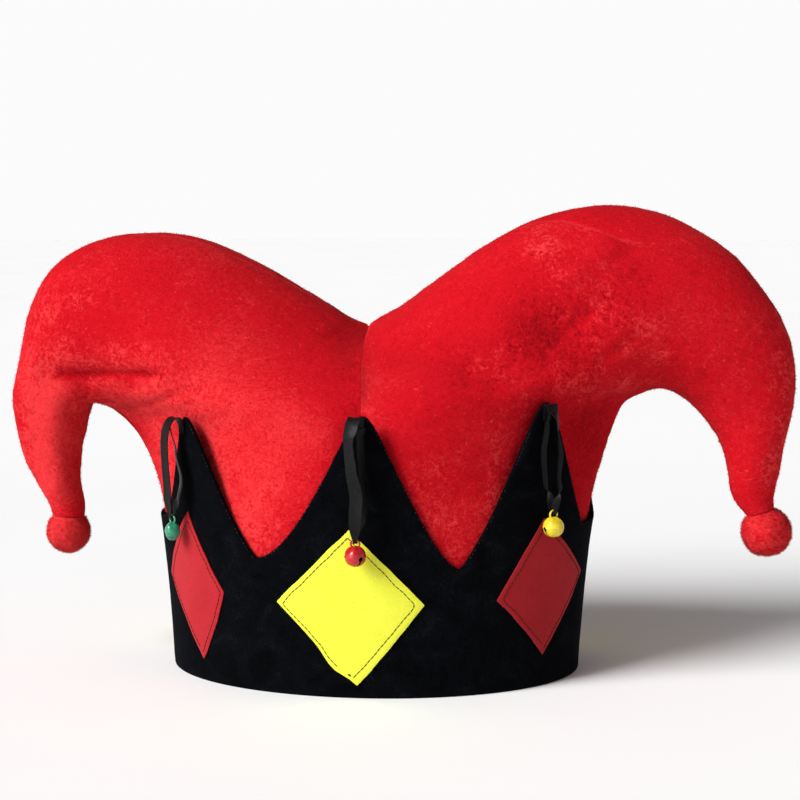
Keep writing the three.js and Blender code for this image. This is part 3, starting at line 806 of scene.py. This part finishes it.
# Layers of noise: the ragged outline aside and up, the seam's wobbles, the edge's curls, the face.
RAGGED_ASIDE, RAGGED_UP = [(0.45, 11, 3), (0.12, 2.2, 5)], [(0.45, 11, 8), (0.12, 2.2, 9)]
SEAM_WOBBLES = [(0.4, 5, 21)], [(0.4, 5, 22)]
FELT_CURLS, FELT_FACE = [(1, 7, 12)], [(0.10, 9, 15)]
# How far apart in the noise the diamonds lie.
FELT_APART = 40.0
# The felt's thickness and its gap to the cuff, then heights and reaches of its curled edge, its
# thinner edge and the groove along its seam.
FELT_SHOWN, FELT_UNDER = 0.75, 0.25
FELT_CURL, FELT_TAPER, FELT_GROOVE = (0.07, 1.5), (0.35, 0.6), (0.12, 0.5)
# The seam's points on each edge, how far its thread lies up, then pitch, length and radius of its
# stitches and of its knot.
FELT_SEAM_STEPS, THREAD_LIFT = 60, 0.08
SEAM_STITCHES, KNOT_STITCHES = (2.4, 2.3, 0.2), (0.7, 0.9, 0.42)


def turned(a, b, degrees):
    cos, sin = math.cos(math.radians(degrees)), math.sin(math.radians(degrees))
    return a * cos - b * sin, a * sin + b * cos


def felt_place(index, flat_x, flat_z, offset):
    x, z = turned(flat_x, flat_z, TILT[index])
    share = index / COUNT + (ASIDE[index] + x) / RIM_LENGTH
    return cuff_points(share, MIDDLE[index] + z, offset)


def felt_outline(index, wide, tall, s, t):
    """Points of a diamond on the flat, and a place of its own in the noise for each."""
    x, z = (s - t) * wide, (s + t - 1) * tall
    ragged = np.stack([x, z, np.full_like(x, FELT_APART * index)], -1)
    x, z = x + ripples(ragged, RAGGED_ASIDE), z + ripples(ragged, RAGGED_UP)
    shares = (1 - s) * (1 - t), s * (1 - t), s * t, (1 - s) * t
    for share, (across, up) in zip(shares, FELT_CORNERS[index]):
        x, z = x + share * across, z + share * up
    aside, up = np.array([tall, wide]) / math.hypot(wide, tall)
    arc_s, arc_t = 4 * s * (1 - s), 4 * t * (1 - t)
    arcs = arc_s * (1 - t), arc_t * s, arc_s * t, arc_t * (1 - s)
    ways = (1, -1), (1, 1), (-1, 1), (-1, -1)
    for bow, arc, way in zip(FELT_BOWS[index], arcs, ways):
        x, z = x + bow * arc * way[0] * aside, z + bow * arc * way[1] * up
    if index == 0:
        bulge = hump(t - FELT_BULGE_AT, falling(s, *FELT_BULGE), FELT_BULGE_WIDTH)
        x, z = x - bulge, z - bulge
    return x, z, ragged


def felt_seam(index, side, depth):
    """Marks of a diamond's seam and of its knot, as shares of the way along its lower edges."""
    *insets, stop, knot = FELT_SEAMS[index]
    low_t, high_s, high_t, low_s = np.abs(np.array([0, 1, 1, 0]) - np.array(insets) / depth)
    corners = [[low_s, low_t], [high_s, low_t], [high_s, high_t], [low_s, high_t], [low_s, low_t]]
    seam = np.concatenate([
        np.linspace(*ends, FELT_SEAM_STEPS, endpoint=False) for ends in itertools.pairwise(corners)
    ])
    place = np.concatenate([seam * side, np.full((len(seam), 1), FELT_APART * index)], -1)
    seam = seam + np.stack([ripples(place, layers) for layers in SEAM_WOBBLES], -1) / side
    last, dot = (int(len(seam) * (3 + share) / 4) for share in (stop, knot))
    return seam[:last], seam[dot - 1 : dot + 2] if knot else seam[:0]


def make_diamond(index):
    wide, tall = WIDE[index] / 2, TALL[index] / 2
    side = math.hypot(wide, tall)
    s, t = np.meshgrid(*[np.linspace(0, 1, FELT_CELLS + 1)] * 2, indexing="ij")
    x, z, ragged = felt_outline(index, wide, tall, s, t)
    seam, knot = felt_seam(index, side, 2 * wide * tall / side)
    gap = np.hypot(s[..., None] - seam[:, 0], t[..., None] - seam[:, 1]).min(-1) * side
    edge = np.minimum.reduce([s, t, 1 - s, 1 - t]) * side
    lift = falling(edge, *FELT_CURL) * (1 + ripples(ragged, FELT_CURLS)) - falling(edge, *FELT_TAPER)
    lift += ripples(ragged, FELT_FACE) - hump(gap, *FELT_GROOVE)
    inside = CUFF_WALL + FELT_UNDER
    outer = felt_place(index, x, z, inside + FELT_SHOWN + lift)
    inner = felt_place(index, x, z, inside)
    name = f"diamond_{index + 1}"
    slot, felt = FELTS[index % len(FELTS)]
    mesh = wall_mesh(outer, inner)
    marks = {"dye_and_shade": np.full(len(mesh[0]), FELT_DYE_AND_SHADE[index])}
    made = piece(f"felt_{name}", mesh, felt, [name], marks=marks)
    threads = []
    for line, sizes in ((seam, SEAM_STITCHES), (knot, KNOT_STITCHES)):
        if len(line):
            normals = unit(between(outer - inner, line * FELT_CELLS))
            laid = between(outer, line * FELT_CELLS) + THREAD_LIFT * normals
            threads.append(stitches(laid, normals, *sizes))
    piece(f"thread_{name}", joined(*threads), THREAD)


# Ribbons and bells

# The route of a ribbon, from where it is sewn on: out, up, eye, width. Its top is pressed a little
# lower than in its solid, and it is wider at the eye.
RIBBON_ROUTE = np.array([
    [0.7, -8, 0, 6],
    [0.9, -4, 0, 6],
    [2.6, -0.5, 0, 6],
    [5.6, -1.2, 0, 6],
    [8, -5.5, 0, 6],
    [8.6, -12.5, 0, 6],
    [8.2, -22, 0, 6],
    [7.2, -34, 0, 6],
    [2.6, 8, 1, 5.6],
    [1.8, 3, 1, 4],
    [1.5, -0.4, 1, 2],
    [0.9, -1.45, 1, 2],
    [0, -1.75, 1, 2],
    [-0.9, -1.45, 1, 2],
    [-1.5, -0.4, 1, 2],
    [-1.7, 3, 1, 4],
    [-1.7, 8, 1, 5.6],
    [2.6, -34, 0, 6],
    [2.2, -22, 0, 6],
    [1.9, -12, 0, 6],
    [1.85, -5.5, 0, 6],
])
# The route's row under the wire of the bell's eye, where the outer strand turns into the inner one.
RIBBON_TURN = 12
# How each ribbon hangs: how much of its reach the outer strand keeps, how far aside its end is sewn
# on, then for the outer and the inner strand, going down, the height above the tip, the place
# aside, the turn in degrees and the place further out.
RIBBON_STYLES = [
    (
        0.95, 1.6,
        [
            [-0.5, -0.4, 0, 0], [-4, -1.4, 8, 0], [-9.5, -2.6, 33, 0], [-11.5, -2.5, 42, 0],
            [-16, -2.2, 38, 0], [-22, -1.5, 30, 0], [-36, 0.7, 8, 0], [-47, 0.2, 5, 0],
        ],
        [[-4.5, 2, 40, 0.4], [-9, 2.2, 62, 0.2], [-28, 2.6, 72, 0], [-44, 3.2, 60, 0]],
    ),
    (
        0.75, -0.8,
        [[-0.5, -1.4, 0, 0], [-8, 0.6, -44, 0], [-24, 2.4, -76, 0], [-38, 1.7, -74, 0]],
        [[-4.5, -1.2, 44, 0.4], [-10, -1.8, 72, 0], [-24, -3.8, 72, 0], [-38, -3, 68, 0]],
    ),
    (
        0.9, 0,
        [[1, 0, 0, 0], [-14, 1.4, 24, 0], [-34, 1.2, 18, 0]],
        [[-3, -0.6, -10, 0], [-16, -1.6, -24, 0], [-36, -1.4, -16, 0]],
    ),
    (
        0.95, 0,
        [[1, -0.6, 0, 0], [-14, -2, -26, 0], [-36, -1, -20, 0]],
        [[-3, 1, 10, 0], [-16, 2, 24, 0], [-38, 1.6, 16, 0]],
    ),
    (
        0.85, 0,
        [[1, 0.4, 0, 0], [-14, 1.4, 26, 0], [-34, 0.8, 14, 0]],
        [[-3, -0.8, -12, 0], [-16, -1.8, -20, 0], [-36, -1.2, -14, 0]],
    ),
    (
        1.0, 2.2,
        [[-0.5, 0.6, 0, 0], [-14, -0.2, 3, 0], [-36, -0.2, 2, 0]],
        [[-4.5, 0, -34, 3.6], [-16, 0.8, -28, 1.2], [-30, 4, -24, 0], [-38, 2.5, -24, 0]],
    ),
]
# The route's rows between which the sewn end turns free, its narrow tab widens, and the strand hangs.
RIBBON_FREE, RIBBON_WIDENS, RIBBON_HANGS = (0.8, 3.2), (0.6, 2.4), (2, 4)
# The tab's share of the width, the height above the eye's wire where the strands are gathered, the
# curl of a ribbon as a share of its width, and how much of the curl its middle lies below its line.
RIBBON_TAB_SHARE, RIBBON_GATHERED, RIBBON_CURL, RIBBON_CURL_MIDDLE = 0.66, 3.0, 1 / 24, 0.3
RIBBON_POINTS, RIBBON_ACROSS, RIBBON_THICK = 190, 7, 0.42


def point_frame(index):
    """Where a point's ribbon is sewn on: its place, the ways outwards and aside."""
    share = np.array(tip_share(index) + HANG[index] / RIM_LENGTH)
    place = cuff_points(share, TIP[index], CUFF_WALL)
    out = outwards(share)
    return place, out, np.array([-out[1], out[0], 0.0])


def eased(rows, at):
    """Columns of a table whose first one falls, at the values at of that one, eased between rows."""
    rows = np.array(rows, float)
    i = np.clip(np.searchsorted(-rows[:, 0], -at) - 1, 0, len(rows) - 2)
    share = smooth_step(0, 1, (at - rows[i, 0]) / (rows[i + 1, 0] - rows[i, 0]))[:, None]
    return (rows[i, 1:] * (1 - share) + rows[i + 1, 1:] * share).T


def make_ribbon(index, bell):
    place, out, aside = point_frame(index)
    reach, tab, outer, inner = RIBBON_STYLES[index]
    at = np.linspace(0, len(RIBBON_ROUTE) - 1, RIBBON_POINTS)
    run, up, eye, width = catmull(RIBBON_ROUTE, at).T
    height = up - eye * DROP[index]
    gathered = [RIBBON_GATHERED - DROP[index], 0, 0, 0]
    strands = eased(outer + [gathered], height), eased(inner + [gathered], height)
    sway, turn, further = np.where(at < RIBBON_TURN, *strands)
    sewn = 1 - smooth_step(*RIBBON_FREE, at)
    sway = sway + (tab - sway) * sewn
    turn = np.radians(turn * (1 - sewn))
    width = width * (1 - (1 - RIBBON_TAB_SHARE) * (1 - smooth_step(*RIBBON_WIDENS, at)))
    hung = smooth_step(*RIBBON_HANGS, at) * (at < RIBBON_TURN) * (1 - eye)
    run = run * (1 - (1 - reach) * hung) + eye * EYE_OUT + further
    line = place + run[:, None] * out + sway[:, None] * aside + height[:, None] * UP
    way = unit(np.gradient(line, axis=0))
    face = unit(np.cross(way, aside))
    across = unit(np.cross(face, way))
    edge = np.cos(turn)[:, None] * across + np.sin(turn)[:, None] * face
    flat = unit(np.cross(way, edge))
    steps = np.linspace(-1, 1, RIBBON_ACROSS)
    curl = RIBBON_CURL * (steps**2 - RIBBON_CURL_MIDDLE)
    body = line[:, None] + edge[:, None] * (width[:, None] / 2 * steps)[..., None]
    body = body + flat[:, None] * (width[:, None] * curl)[..., None]
    half = flat[:, None] * RIBBON_THICK / 2
    name = f"ribbon_{index + 1}"
    made = piece(f"satin_{name}", wall_mesh(body + half, body - half), SATIN, [name])


BELL_SIDES, BELL_RINGS = 56, 36
# The rolled waist: its angle from the top, and its height and width.
BELL_WAIST_AT, BELL_WAIST = 1.6, (0.18, 0.075)
# The pressed petals: how many, how deep, and the share of the radius over which they set in.
BELL_PETALS, BELL_PETAL_DEPTH, BELL_PETAL_FROM = 4, 0.05, 0.7
BELL_LUMPS, BELL_HOLE_SIDES = [(0.025, 3.4, 6)], 20
# A point of the shell is inside when it lies deeper than this share of the wall. The inside is
# painted near black, as bare metal and as painted shade in the bell's hollow.
BELL_INSIDE = 0.7
# How wide and how tall each bell is, as shares of a round one; the last one is dented.
BELL_SHARES = [[1, 1], [1, 1], [0.98, 1], [1, 0.97], [1, 1], [0.77, 0.93]]


def lathe(profile, sides):
    """A solid turned from a profile of (radius, height) rows that starts and ends on its axis."""
    turn = turns(sides)
    radius, height = profile[1:-1].T[..., None]
    rings = np.stack([radius * np.cos(turn), radius * np.sin(turn), height + 0 * turn], -1)
    points = np.concatenate([rings.reshape(-1, 3), profile[[0, -1], 1:] * UP])
    here = np.arange(sides)
    there = np.roll(here, -1)
    end = (len(rings) - 1) * sides
    first, last = np.full((2, sides), [[len(points) - 2], [len(points) - 1]])
    caps = np.concatenate([
        np.stack([first, there, here], -1), np.stack([last, end + here, end + there], -1)
    ])
    return outward(points, [grid_faces(len(rings), sides, False, True), caps])


def loose_object(name, mesh):
    return in_scene(name, mesh_data(name, mesh))


def box_mesh(low, high):
    corners = np.array(list(itertools.product((0, 1), repeat=3)))
    faces = [[0, 1, 3, 2], [4, 6, 7, 5], [0, 4, 5, 1], [2, 3, 7, 6], [0, 2, 6, 4], [1, 5, 7, 3]]
    points = np.array(low) + corners * (np.array(high) - np.array(low))
    return outward(points, [np.array(faces)])


def bell_shell():
    """A hollow ball with a rolled waist, slit across below from one round hole to another."""
    angle = np.linspace(0, np.pi, BELL_RINGS)
    arc = np.stack([np.sin(angle), np.cos(angle)], -1)
    waist = hump(angle - BELL_WAIST_AT, *BELL_WAIST)
    points, faces = lathe((BELL_RADIUS + waist)[:, None] * arc, BELL_SIDES)
    x, y, z = points.T
    petals = np.cos(BELL_PETALS * np.arctan2(y, x)) * np.hypot(x, y) / BELL_RADIUS
    petals *= smooth_step(0, BELL_PETAL_FROM * BELL_RADIUS, np.abs(z))
    lumps = 1 - BELL_PETAL_DEPTH * petals + ripples(points, BELL_LUMPS)
    ball = loose_object("bell_ball", (points * lumps[:, None], faces))
    long = 2 * BELL_RADIUS
    hole = np.array([[0, -long], [BELL_HOLE_RADIUS, -long], [BELL_HOLE_RADIUS, long], [0, long]])
    drill, sides = lathe(hole, BELL_HOLE_SIDES)
    drilled = outward(drill[:, [0, 2, 1]] - [0, 0, BELL_HOLE_DROP], sides)
    half = BELL_SLIT / 2
    cutters = [
        loose_object("bell_hollow", lathe((BELL_RADIUS - BELL_WALL) * arc, BELL_SIDES // 2)),
        loose_object("bell_slit", box_mesh([-half, -long, -long], [half, long, -BELL_HOLE_DROP])),
        loose_object("bell_hole", drilled),
    ]
    for cutter in cutters:
        cut = ball.modifiers.new("cut", "BOOLEAN")
        cut.operation, cut.solver, cut.object = "DIFFERENCE", "EXACT", cutter
    shown = ball.evaluated_get(bpy.context.evaluated_depsgraph_get())
    made = bmesh.new()
    made.from_mesh(shown.to_mesh())
    bmesh.ops.triangulate(made, faces=made.faces)
    made.verts.index_update()
    points, faces = from_form(made)
    for gone in [ball, *cutters]:
        bpy.data.objects.remove(gone)
    return points, [faces]


EYE_SIDES, EYE_WIRE_SIDES = 28, 10


def bell_eye():
    turn, wire = turns(EYE_SIDES)[:, None], turns(EYE_WIRE_SIDES)[None]
    reach = EYE_RADIUS + EYE_WIRE_RADIUS * np.cos(wire)
    grid = np.stack([
        EYE_WIRE_RADIUS * np.sin(wire) + 0 * turn,
        reach * np.cos(turn),
        reach * np.sin(turn) + BELL_RADIUS + EYE_RISE,
    ], -1)
    return tube(grid)


def make_bell(index, shell, eye):
    place, out, aside = point_frame(index)
    points, faces = shell
    spun = np.stack([*turned(points[:, 0], points[:, 1], SPIN[index]), points[:, 2]], -1)
    round_share, tall_share = BELL_SHARES[index]
    local, faces = joined((spun * [round_share, round_share, tall_share], faces), eye)
    middle = place + EYE_OUT * out - (DROP[index] + EYE_RADIUS + EYE_RISE + BELL_RADIUS) * UP
    placed = middle + local @ np.stack([out, aside, UP])
    slot, paint = PAINTS[index % len(PAINTS)]
    name = f"bell_{index + 1}"
    within = np.linalg.norm(points, axis=1) < BELL_RADIUS - BELL_INSIDE * BELL_WALL
    marks = {"inside": np.append(within, np.zeros(len(local) - len(points)))}
    return piece(f"jingle_{name}", (placed, faces), paint, [name], sharp=35, marks=marks)


# Plush balls

# Each ball: side, sections of its horn, radius, radius of its seat on the horn, tone, seed. The left
# ball's higher tone is painted light.
BALLS = {
    "left": (-1, LEFT_ROWS, 10.9, 7.6, 1.0, 11),
    "right": (1, RIGHT_ROWS, 12.2, 7.0, 0.77, 12),
}
BALL_FIBRES, BALL_COUNT = {"length": 1.6, "shortest": 0.5, "radius": 0.12}, 6000
# How deep the skin lies under the radius, its layers of noise, how crushed its nap is, how its fibres'
# tones spread, the share of the radius that stays bare beside the seat, and how finely it is made.
BALL_SKIN, BALL_LUMPS = 0.3, [(0.5, 7, 0), (0.25, 2.4, 4)]
BALL_CRUSHED, BALL_TONES, BALL_BARE, BALL_SUBDIVISIONS = 0.7, 0.1, 0.05, 6


def make_ball(name, side, rows, radius, seat, tone, seed):
    top_x, top_z, low_x, low_z = np.array(rows[-1][:4], float)
    across = unit(np.array([top_x - low_x, 0, top_z - low_z]))
    up = np.array([-across[2], 0, across[0]]) * np.sign(across[0])
    rise = math.sqrt(radius**2 - seat**2)
    middle = np.array([(top_x + low_x) / 2, 0, (top_z + low_z) / 2]) - up * (GAP + rise)
    middle[0] *= side
    up[0] *= side
    form = bmesh.new()
    bmesh.ops.create_icosphere(form, subdivisions=BALL_SUBDIVISIONS, radius=1.0)
    ways, faces = from_form(form)

    def skin(ways):
        points = ways * (radius - BALL_SKIN + ripples(ways * radius, BALL_LUMPS, seed))[:, None]
        return points - up * np.maximum(points @ up - rise, 0)[:, None] + middle

    draw = np.random.default_rng(seed)
    roots = unit(draw.normal(size=(BALL_COUNT, 3)))
    roots = roots[roots @ up < rise / radius - BALL_BARE]
    fuzz = fibres(draw, skin(roots) - FIBRE_ROOT * roots, roots, **BALL_FIBRES)
    tones = draw.normal(tone, BALL_TONES, len(roots))
    nap_and_shade, crushed = (np.full(len(ways), value) for value in (tone, BALL_CRUSHED))
    ball = outward(skin(ways), [faces])
    made = plush_piece(
        f"soft_ball_{name}", f"plush_ball_{name}", ball, nap_and_shade, crushed, fuzz, tones, roots,
    )


# Materials

class Nodes:
    """The node tree of a material or a world."""

    def __init__(self, owner):
        owner.use_nodes = True
        self.nodes, self.links = owner.node_tree.nodes, owner.node_tree.links

    def node(self, kind, inputs=None, **settings):
        made = self.nodes.new(f"ShaderNode{kind}")
        for key, value in settings.items():
            setattr(made, key, value)
        for key, value in (inputs or {}).items():
            if isinstance(value, bpy.types.NodeSocket):
                self.links.new(value, made.inputs[key])
            else:
                made.inputs[key].default_value = value
        return made

    def ranged(self, value, **limits):
        inputs = {key.replace("_", " ").title(): limit for key, limit in limits.items()}
        return self.node("MapRange", {"Value": value, **inputs}).outputs[0]


class Look(Nodes):
    """A node material: a Principled shader with what is linked to it."""

    def __init__(self, name, **values):
        self.material = bpy.data.materials.new(name)
        super().__init__(self.material)
        for key, value in values.items():
            self.socket(key).default_value = value
        self.where = self.node("TexCoord").outputs["Object"]

    def socket(self, key):
        name = key.replace("_", " ").title().replace("Ior", "IOR")
        return self.nodes["Principled BSDF"].inputs[name]

    def noise(self, scale, detail=2.0, rough=0.5, twist=0.0, stretch=None):
        where = self.where
        if stretch:
            where = self.node("Mapping", {"Vector": where, "Scale": stretch}).outputs[0]
        return self.node("TexNoise", {
            "Vector": where, "Scale": scale, "Detail": detail, "Roughness": rough,
            "Distortion": twist,
        }).outputs["Fac"]

    def mark(self, name):
        """A number stored on the mesh's points."""
        return self.node("Attribute", attribute_name=name).outputs["Fac"]

    def math(self, operation, a, b):
        return self.node("Math", {0: a, 1: b}, operation=operation).outputs[0]

    def mixed(self, *parts):
        """The sum of sockets, each times its weight."""
        total = None
        for socket, weight in parts:
            term = self.math("MULTIPLY", socket, weight)
            total = term if total is None else self.math("ADD", total, term)
        return total

    def ramp(self, factor, *stops):
        made = self.node("ValToRGB", {"Fac": factor})
        made.color_ramp.interpolation = "EASE"
        while len(made.color_ramp.elements) < len(stops):
            made.color_ramp.elements.new(0.5)
        for element, (at, colour) in zip(made.color_ramp.elements, stops):
            element.position = at
            element.color = (*colour, 1)
        return made.outputs["Color"]

    def bump(self, height, distance, strength=1.0, normal=None):
        inputs = {"Height": height, "Distance": distance, "Strength": strength}
        if normal is not None:
            inputs["Normal"] = normal
        return self.node("Bump", inputs).outputs["Normal"]

    def set(self, **sockets):
        for key, value in sockets.items():
            self.links.new(value, self.socket(key))
        return self.material


def plush_look():
    look = Look(
        "red_plush", roughness=0.95, specular_ior_level=0.03, sheen_weight=0.08, sheen_roughness=0.4,
        sheen_tint=(1.0, 0.2, 0.18, 1),
    )
    grain = look.noise(620, 4, 0.75, 0.3, (1, 1, 1.6))
    tuft = look.mixed((look.noise(230, 3, 0.6, 1.2), 0.5), (look.noise(720, 3, 0.75, 0.6), 0.5))
    loose = look.math("MULTIPLY", look.math("SUBTRACT", tuft, 0.48), look.mark("crushed"))
    # Sparse light flecks: painted glints of fibre tips catching the light.
    painted_glints = look.ranged(look.noise(560), from_min=0.66, from_max=0.78)
    # The tone marked on the points holds the nap with painted light and shade.
    tone = look.mixed((look.mark("nap_and_shade"), 0.62), (grain, 0.42), (loose, 2.0), (painted_glints, 0.3))
    colour = look.ramp(
        tone, (0.28, (0.23, 0.0018, 0.005)), (0.55, (0.46, 0.0042, 0.010)),
        (0.86, (0.62, 0.030, 0.034)),
    )
    normal = look.bump(grain, 0.0005, 0.6, look.bump(loose, 0.0016, 0.6))
    return look.set(base_color=colour, normal=normal)


def velvet_look():
    look = Look(
        "black_velvet", roughness=1.0, specular_ior_level=0.02, sheen_weight=0.010,
        sheen_roughness=0.45, sheen_tint=(0.75, 0.85, 1.0, 1),
    )
    crush = look.noise(60, 4, 0.6, 1.0)
    grain = look.noise(900, 2, 0.6)
    colour = look.ramp(
        look.mixed((crush, 0.6), (grain, 0.4)), (0.36, (0.0009, 0.001, 0.0014)),
        (0.52, (0.0018, 0.002, 0.0028)), (0.68, (0.0044, 0.005, 0.0062)),
    )
    return look.set(base_color=colour, normal=look.bump(grain, 0.0004, 0.7))


def felt_look(name, dark, middle, light):
    look = Look(
        name, roughness=1.0, specular_ior_level=0.05, sheen_weight=0.06, sheen_roughness=0.6,
    )
    fibre = look.noise(900, 4, 0.7, 2.5)
    cloud = look.noise(45, 2, 0.5, 0.4)
    # The mark on the points darkens the second diamond as painted shade; the others differ by dye.
    tone = look.mixed((fibre, 0.75), (cloud, 0.25), (look.mark("dye_and_shade"), 1.0))
    colour = look.ramp(tone, (0.34, dark), (0.5, middle), (0.68, light))
    return look.set(base_color=colour, normal=look.bump(fibre, 0.0004, 0.4))


def satin_look():
    look = Look("black_satin", roughness=0.42, specular_ior_level=0.09)
    weave = look.noise(2600, 1, 0.5, 0.0, (1, 1, 0.3))
    colour = look.ramp(weave, (0.3, (0.0042, 0.0042, 0.0046)), (0.7, (0.0084, 0.0084, 0.009)))
    rough = look.ranged(look.noise(300, 3), to_min=0.32, to_max=0.5)
    return look.set(base_color=colour, roughness=rough, normal=look.bump(weave, 0.0002, 0.4))


def thread_look(name, dark, light):
    look = Look(name, roughness=0.9, specular_ior_level=0.04)
    twist = look.noise(2400, 1)
    colour = look.ramp(twist, (0.3, dark), (0.7, light))
    return look.set(base_color=colour, normal=look.bump(twist, 0.0002, 0.5))


def paint_look(name, dark, light):
    look = Look(name, roughness=0.28, specular_ior_level=0.4, coat_weight=0.15, coat_roughness=0.1)
    run = look.noise(330, 3, 0.55)
    fleck = look.noise(1500, 2, 0.6)
    # Points inside the shell are painted near black: bare metal, and painted shade in the hollow.
    bare_and_shaded = look.math("MULTIPLY", look.mark("inside"), -1)
    tone = look.math("ADD", look.mixed((run, 0.7), (fleck, 0.3)), bare_and_shaded)
    colour = look.ramp(tone, (0.0, (0.004, 0.004, 0.004)), (0.36, dark), (0.64, light))
    rough = look.ranged(fleck, to_min=0.18, to_max=0.36)
    return look.set(base_color=colour, roughness=rough, normal=look.bump(run, 0.0004, 0.25))


def floor_look():
    look = Look("pale_floor", roughness=0.9, specular_ior_level=0.1)
    colour = look.ramp(look.noise(3), (0.3, (0.965, 0.965, 0.965)), (0.7, (0.98, 0.98, 0.98)))
    return look.set(base_color=colour)


# Shades from dark to light.
FELT_SHADES = {
    "yellow_felt": [(0.58, 0.57, 0.028), (0.68, 0.69, 0.048), (0.74, 0.75, 0.075)],
    "red_felt": [(0.26, 0.007, 0.011), (0.35, 0.011, 0.017), (0.42, 0.020, 0.026)],
}
PAINT_SHADES = {
    "red_paint": [(0.34, 0.007, 0.010), (0.50, 0.014, 0.016)],
    "yellow_paint": [(0.58, 0.42, 0.012), (0.72, 0.57, 0.03)],
    "green_paint": [(0.012, 0.16, 0.086), (0.034, 0.26, 0.145)],
}
PLUSH, VELVET, SATIN = plush_look(), velvet_look(), satin_look()
FELTS = [(name, felt_look(name, *shades)) for name, shades in FELT_SHADES.items()]
PAINTS = [(name, paint_look(name, *shades)) for name, shades in PAINT_SHADES.items()]
THREAD = thread_look("dark_thread", (0.008, 0.006, 0.003), (0.03, 0.024, 0.012))
# Grey thread on the cuff's edge, lighter than the velvet as painted glints.
EDGE_GLINT_THREAD = thread_look("edge_glint_thread", (0.008, 0.008, 0.009), (0.06, 0.06, 0.064))

# Making

SHELL, EYE = bell_shell(), bell_eye()
for number in range(COUNT):
    make_ribbon(number, make_bell(number, SHELL, EYE))
LEFT = -1, LEFT_ROWS, LEFT_FOLDS, LEFT_CREASES, LEFT_NAP_AND_SHADE, LEFT_CRUSHED
RIGHT = 1, RIGHT_ROWS, RIGHT_FOLDS, RIGHT_CREASES, RIGHT_NAP_AND_SHADE, RIGHT_CRUSHED
# Each panel's side, whether it is on the front (1) or the back (-1), and its seed.
for name, half, face, seed in (
    ("crown_front_left", LEFT, 1, 2),
    ("crown_front_right", RIGHT, 1, 23),
    ("crown_back_left", LEFT, -1, 47),
    ("crown_back_right", RIGHT, -1, 71),
):
    crown_panel(name, *half, face, seed)
make_cuff()
for number in range(COUNT):
    make_diamond(number)
for name, sizes in BALLS.items():
    make_ball(name, *sizes)


# Floor and light

FLOOR_SIDES, FLOOR_RADIUS = 96, 8.0


def make_floor():
    turn = turns(FLOOR_SIDES)
    ring = FLOOR_RADIUS * np.stack([np.cos(turn), np.sin(turn), 0 * turn], -1)
    floor = loose_object("floor", (ring, [np.arange(FLOOR_SIDES)[None]]))
    floor.data.materials.append(floor_look())


# Suns light all of the floor evenly: the key from the upper left of the front, and a weak low fill.
SUNS = {
    "key": {"way": (-0.661, -0.516, 0.545), "strength": 4.25, "angle": 0.5},
    "fill": {"way": (-0.60, -0.76, 0.25), "strength": 0.55, "angle": 0.6},
}


def make_sun(name, way, strength, angle):
    data = bpy.data.lights.new(name, "SUN")
    data.energy, data.angle = strength, angle
    light = in_scene(name, data)
    light.rotation_euler = Vector(way).to_track_quat("Z", "Y").to_euler()


# The sky: the heights between which it falls off, and its strength below and above them.
SKY_FALL = {"from_min": 0.2, "from_max": 0.45, "to_min": 0.97, "to_max": 0.12}


def make_sky():
    world = bpy.data.worlds.new("studio")
    sky = Nodes(world)
    way = sky.node("TexCoord").outputs["Generated"]
    height = sky.node("SeparateXYZ", {0: way}).outputs["Z"]
    light = sky.nodes["Background"].inputs
    light["Color"].default_value = (1, 1, 1, 1)
    sky.links.new(sky.ranged(height, **SKY_FALL), light["Strength"])
    bpy.context.scene.world = world


make_floor()
for name, values in SUNS.items():
    make_sun(name, **values)
make_sky()
bpy.context.scene.view_settings.view_transform = "Standard"
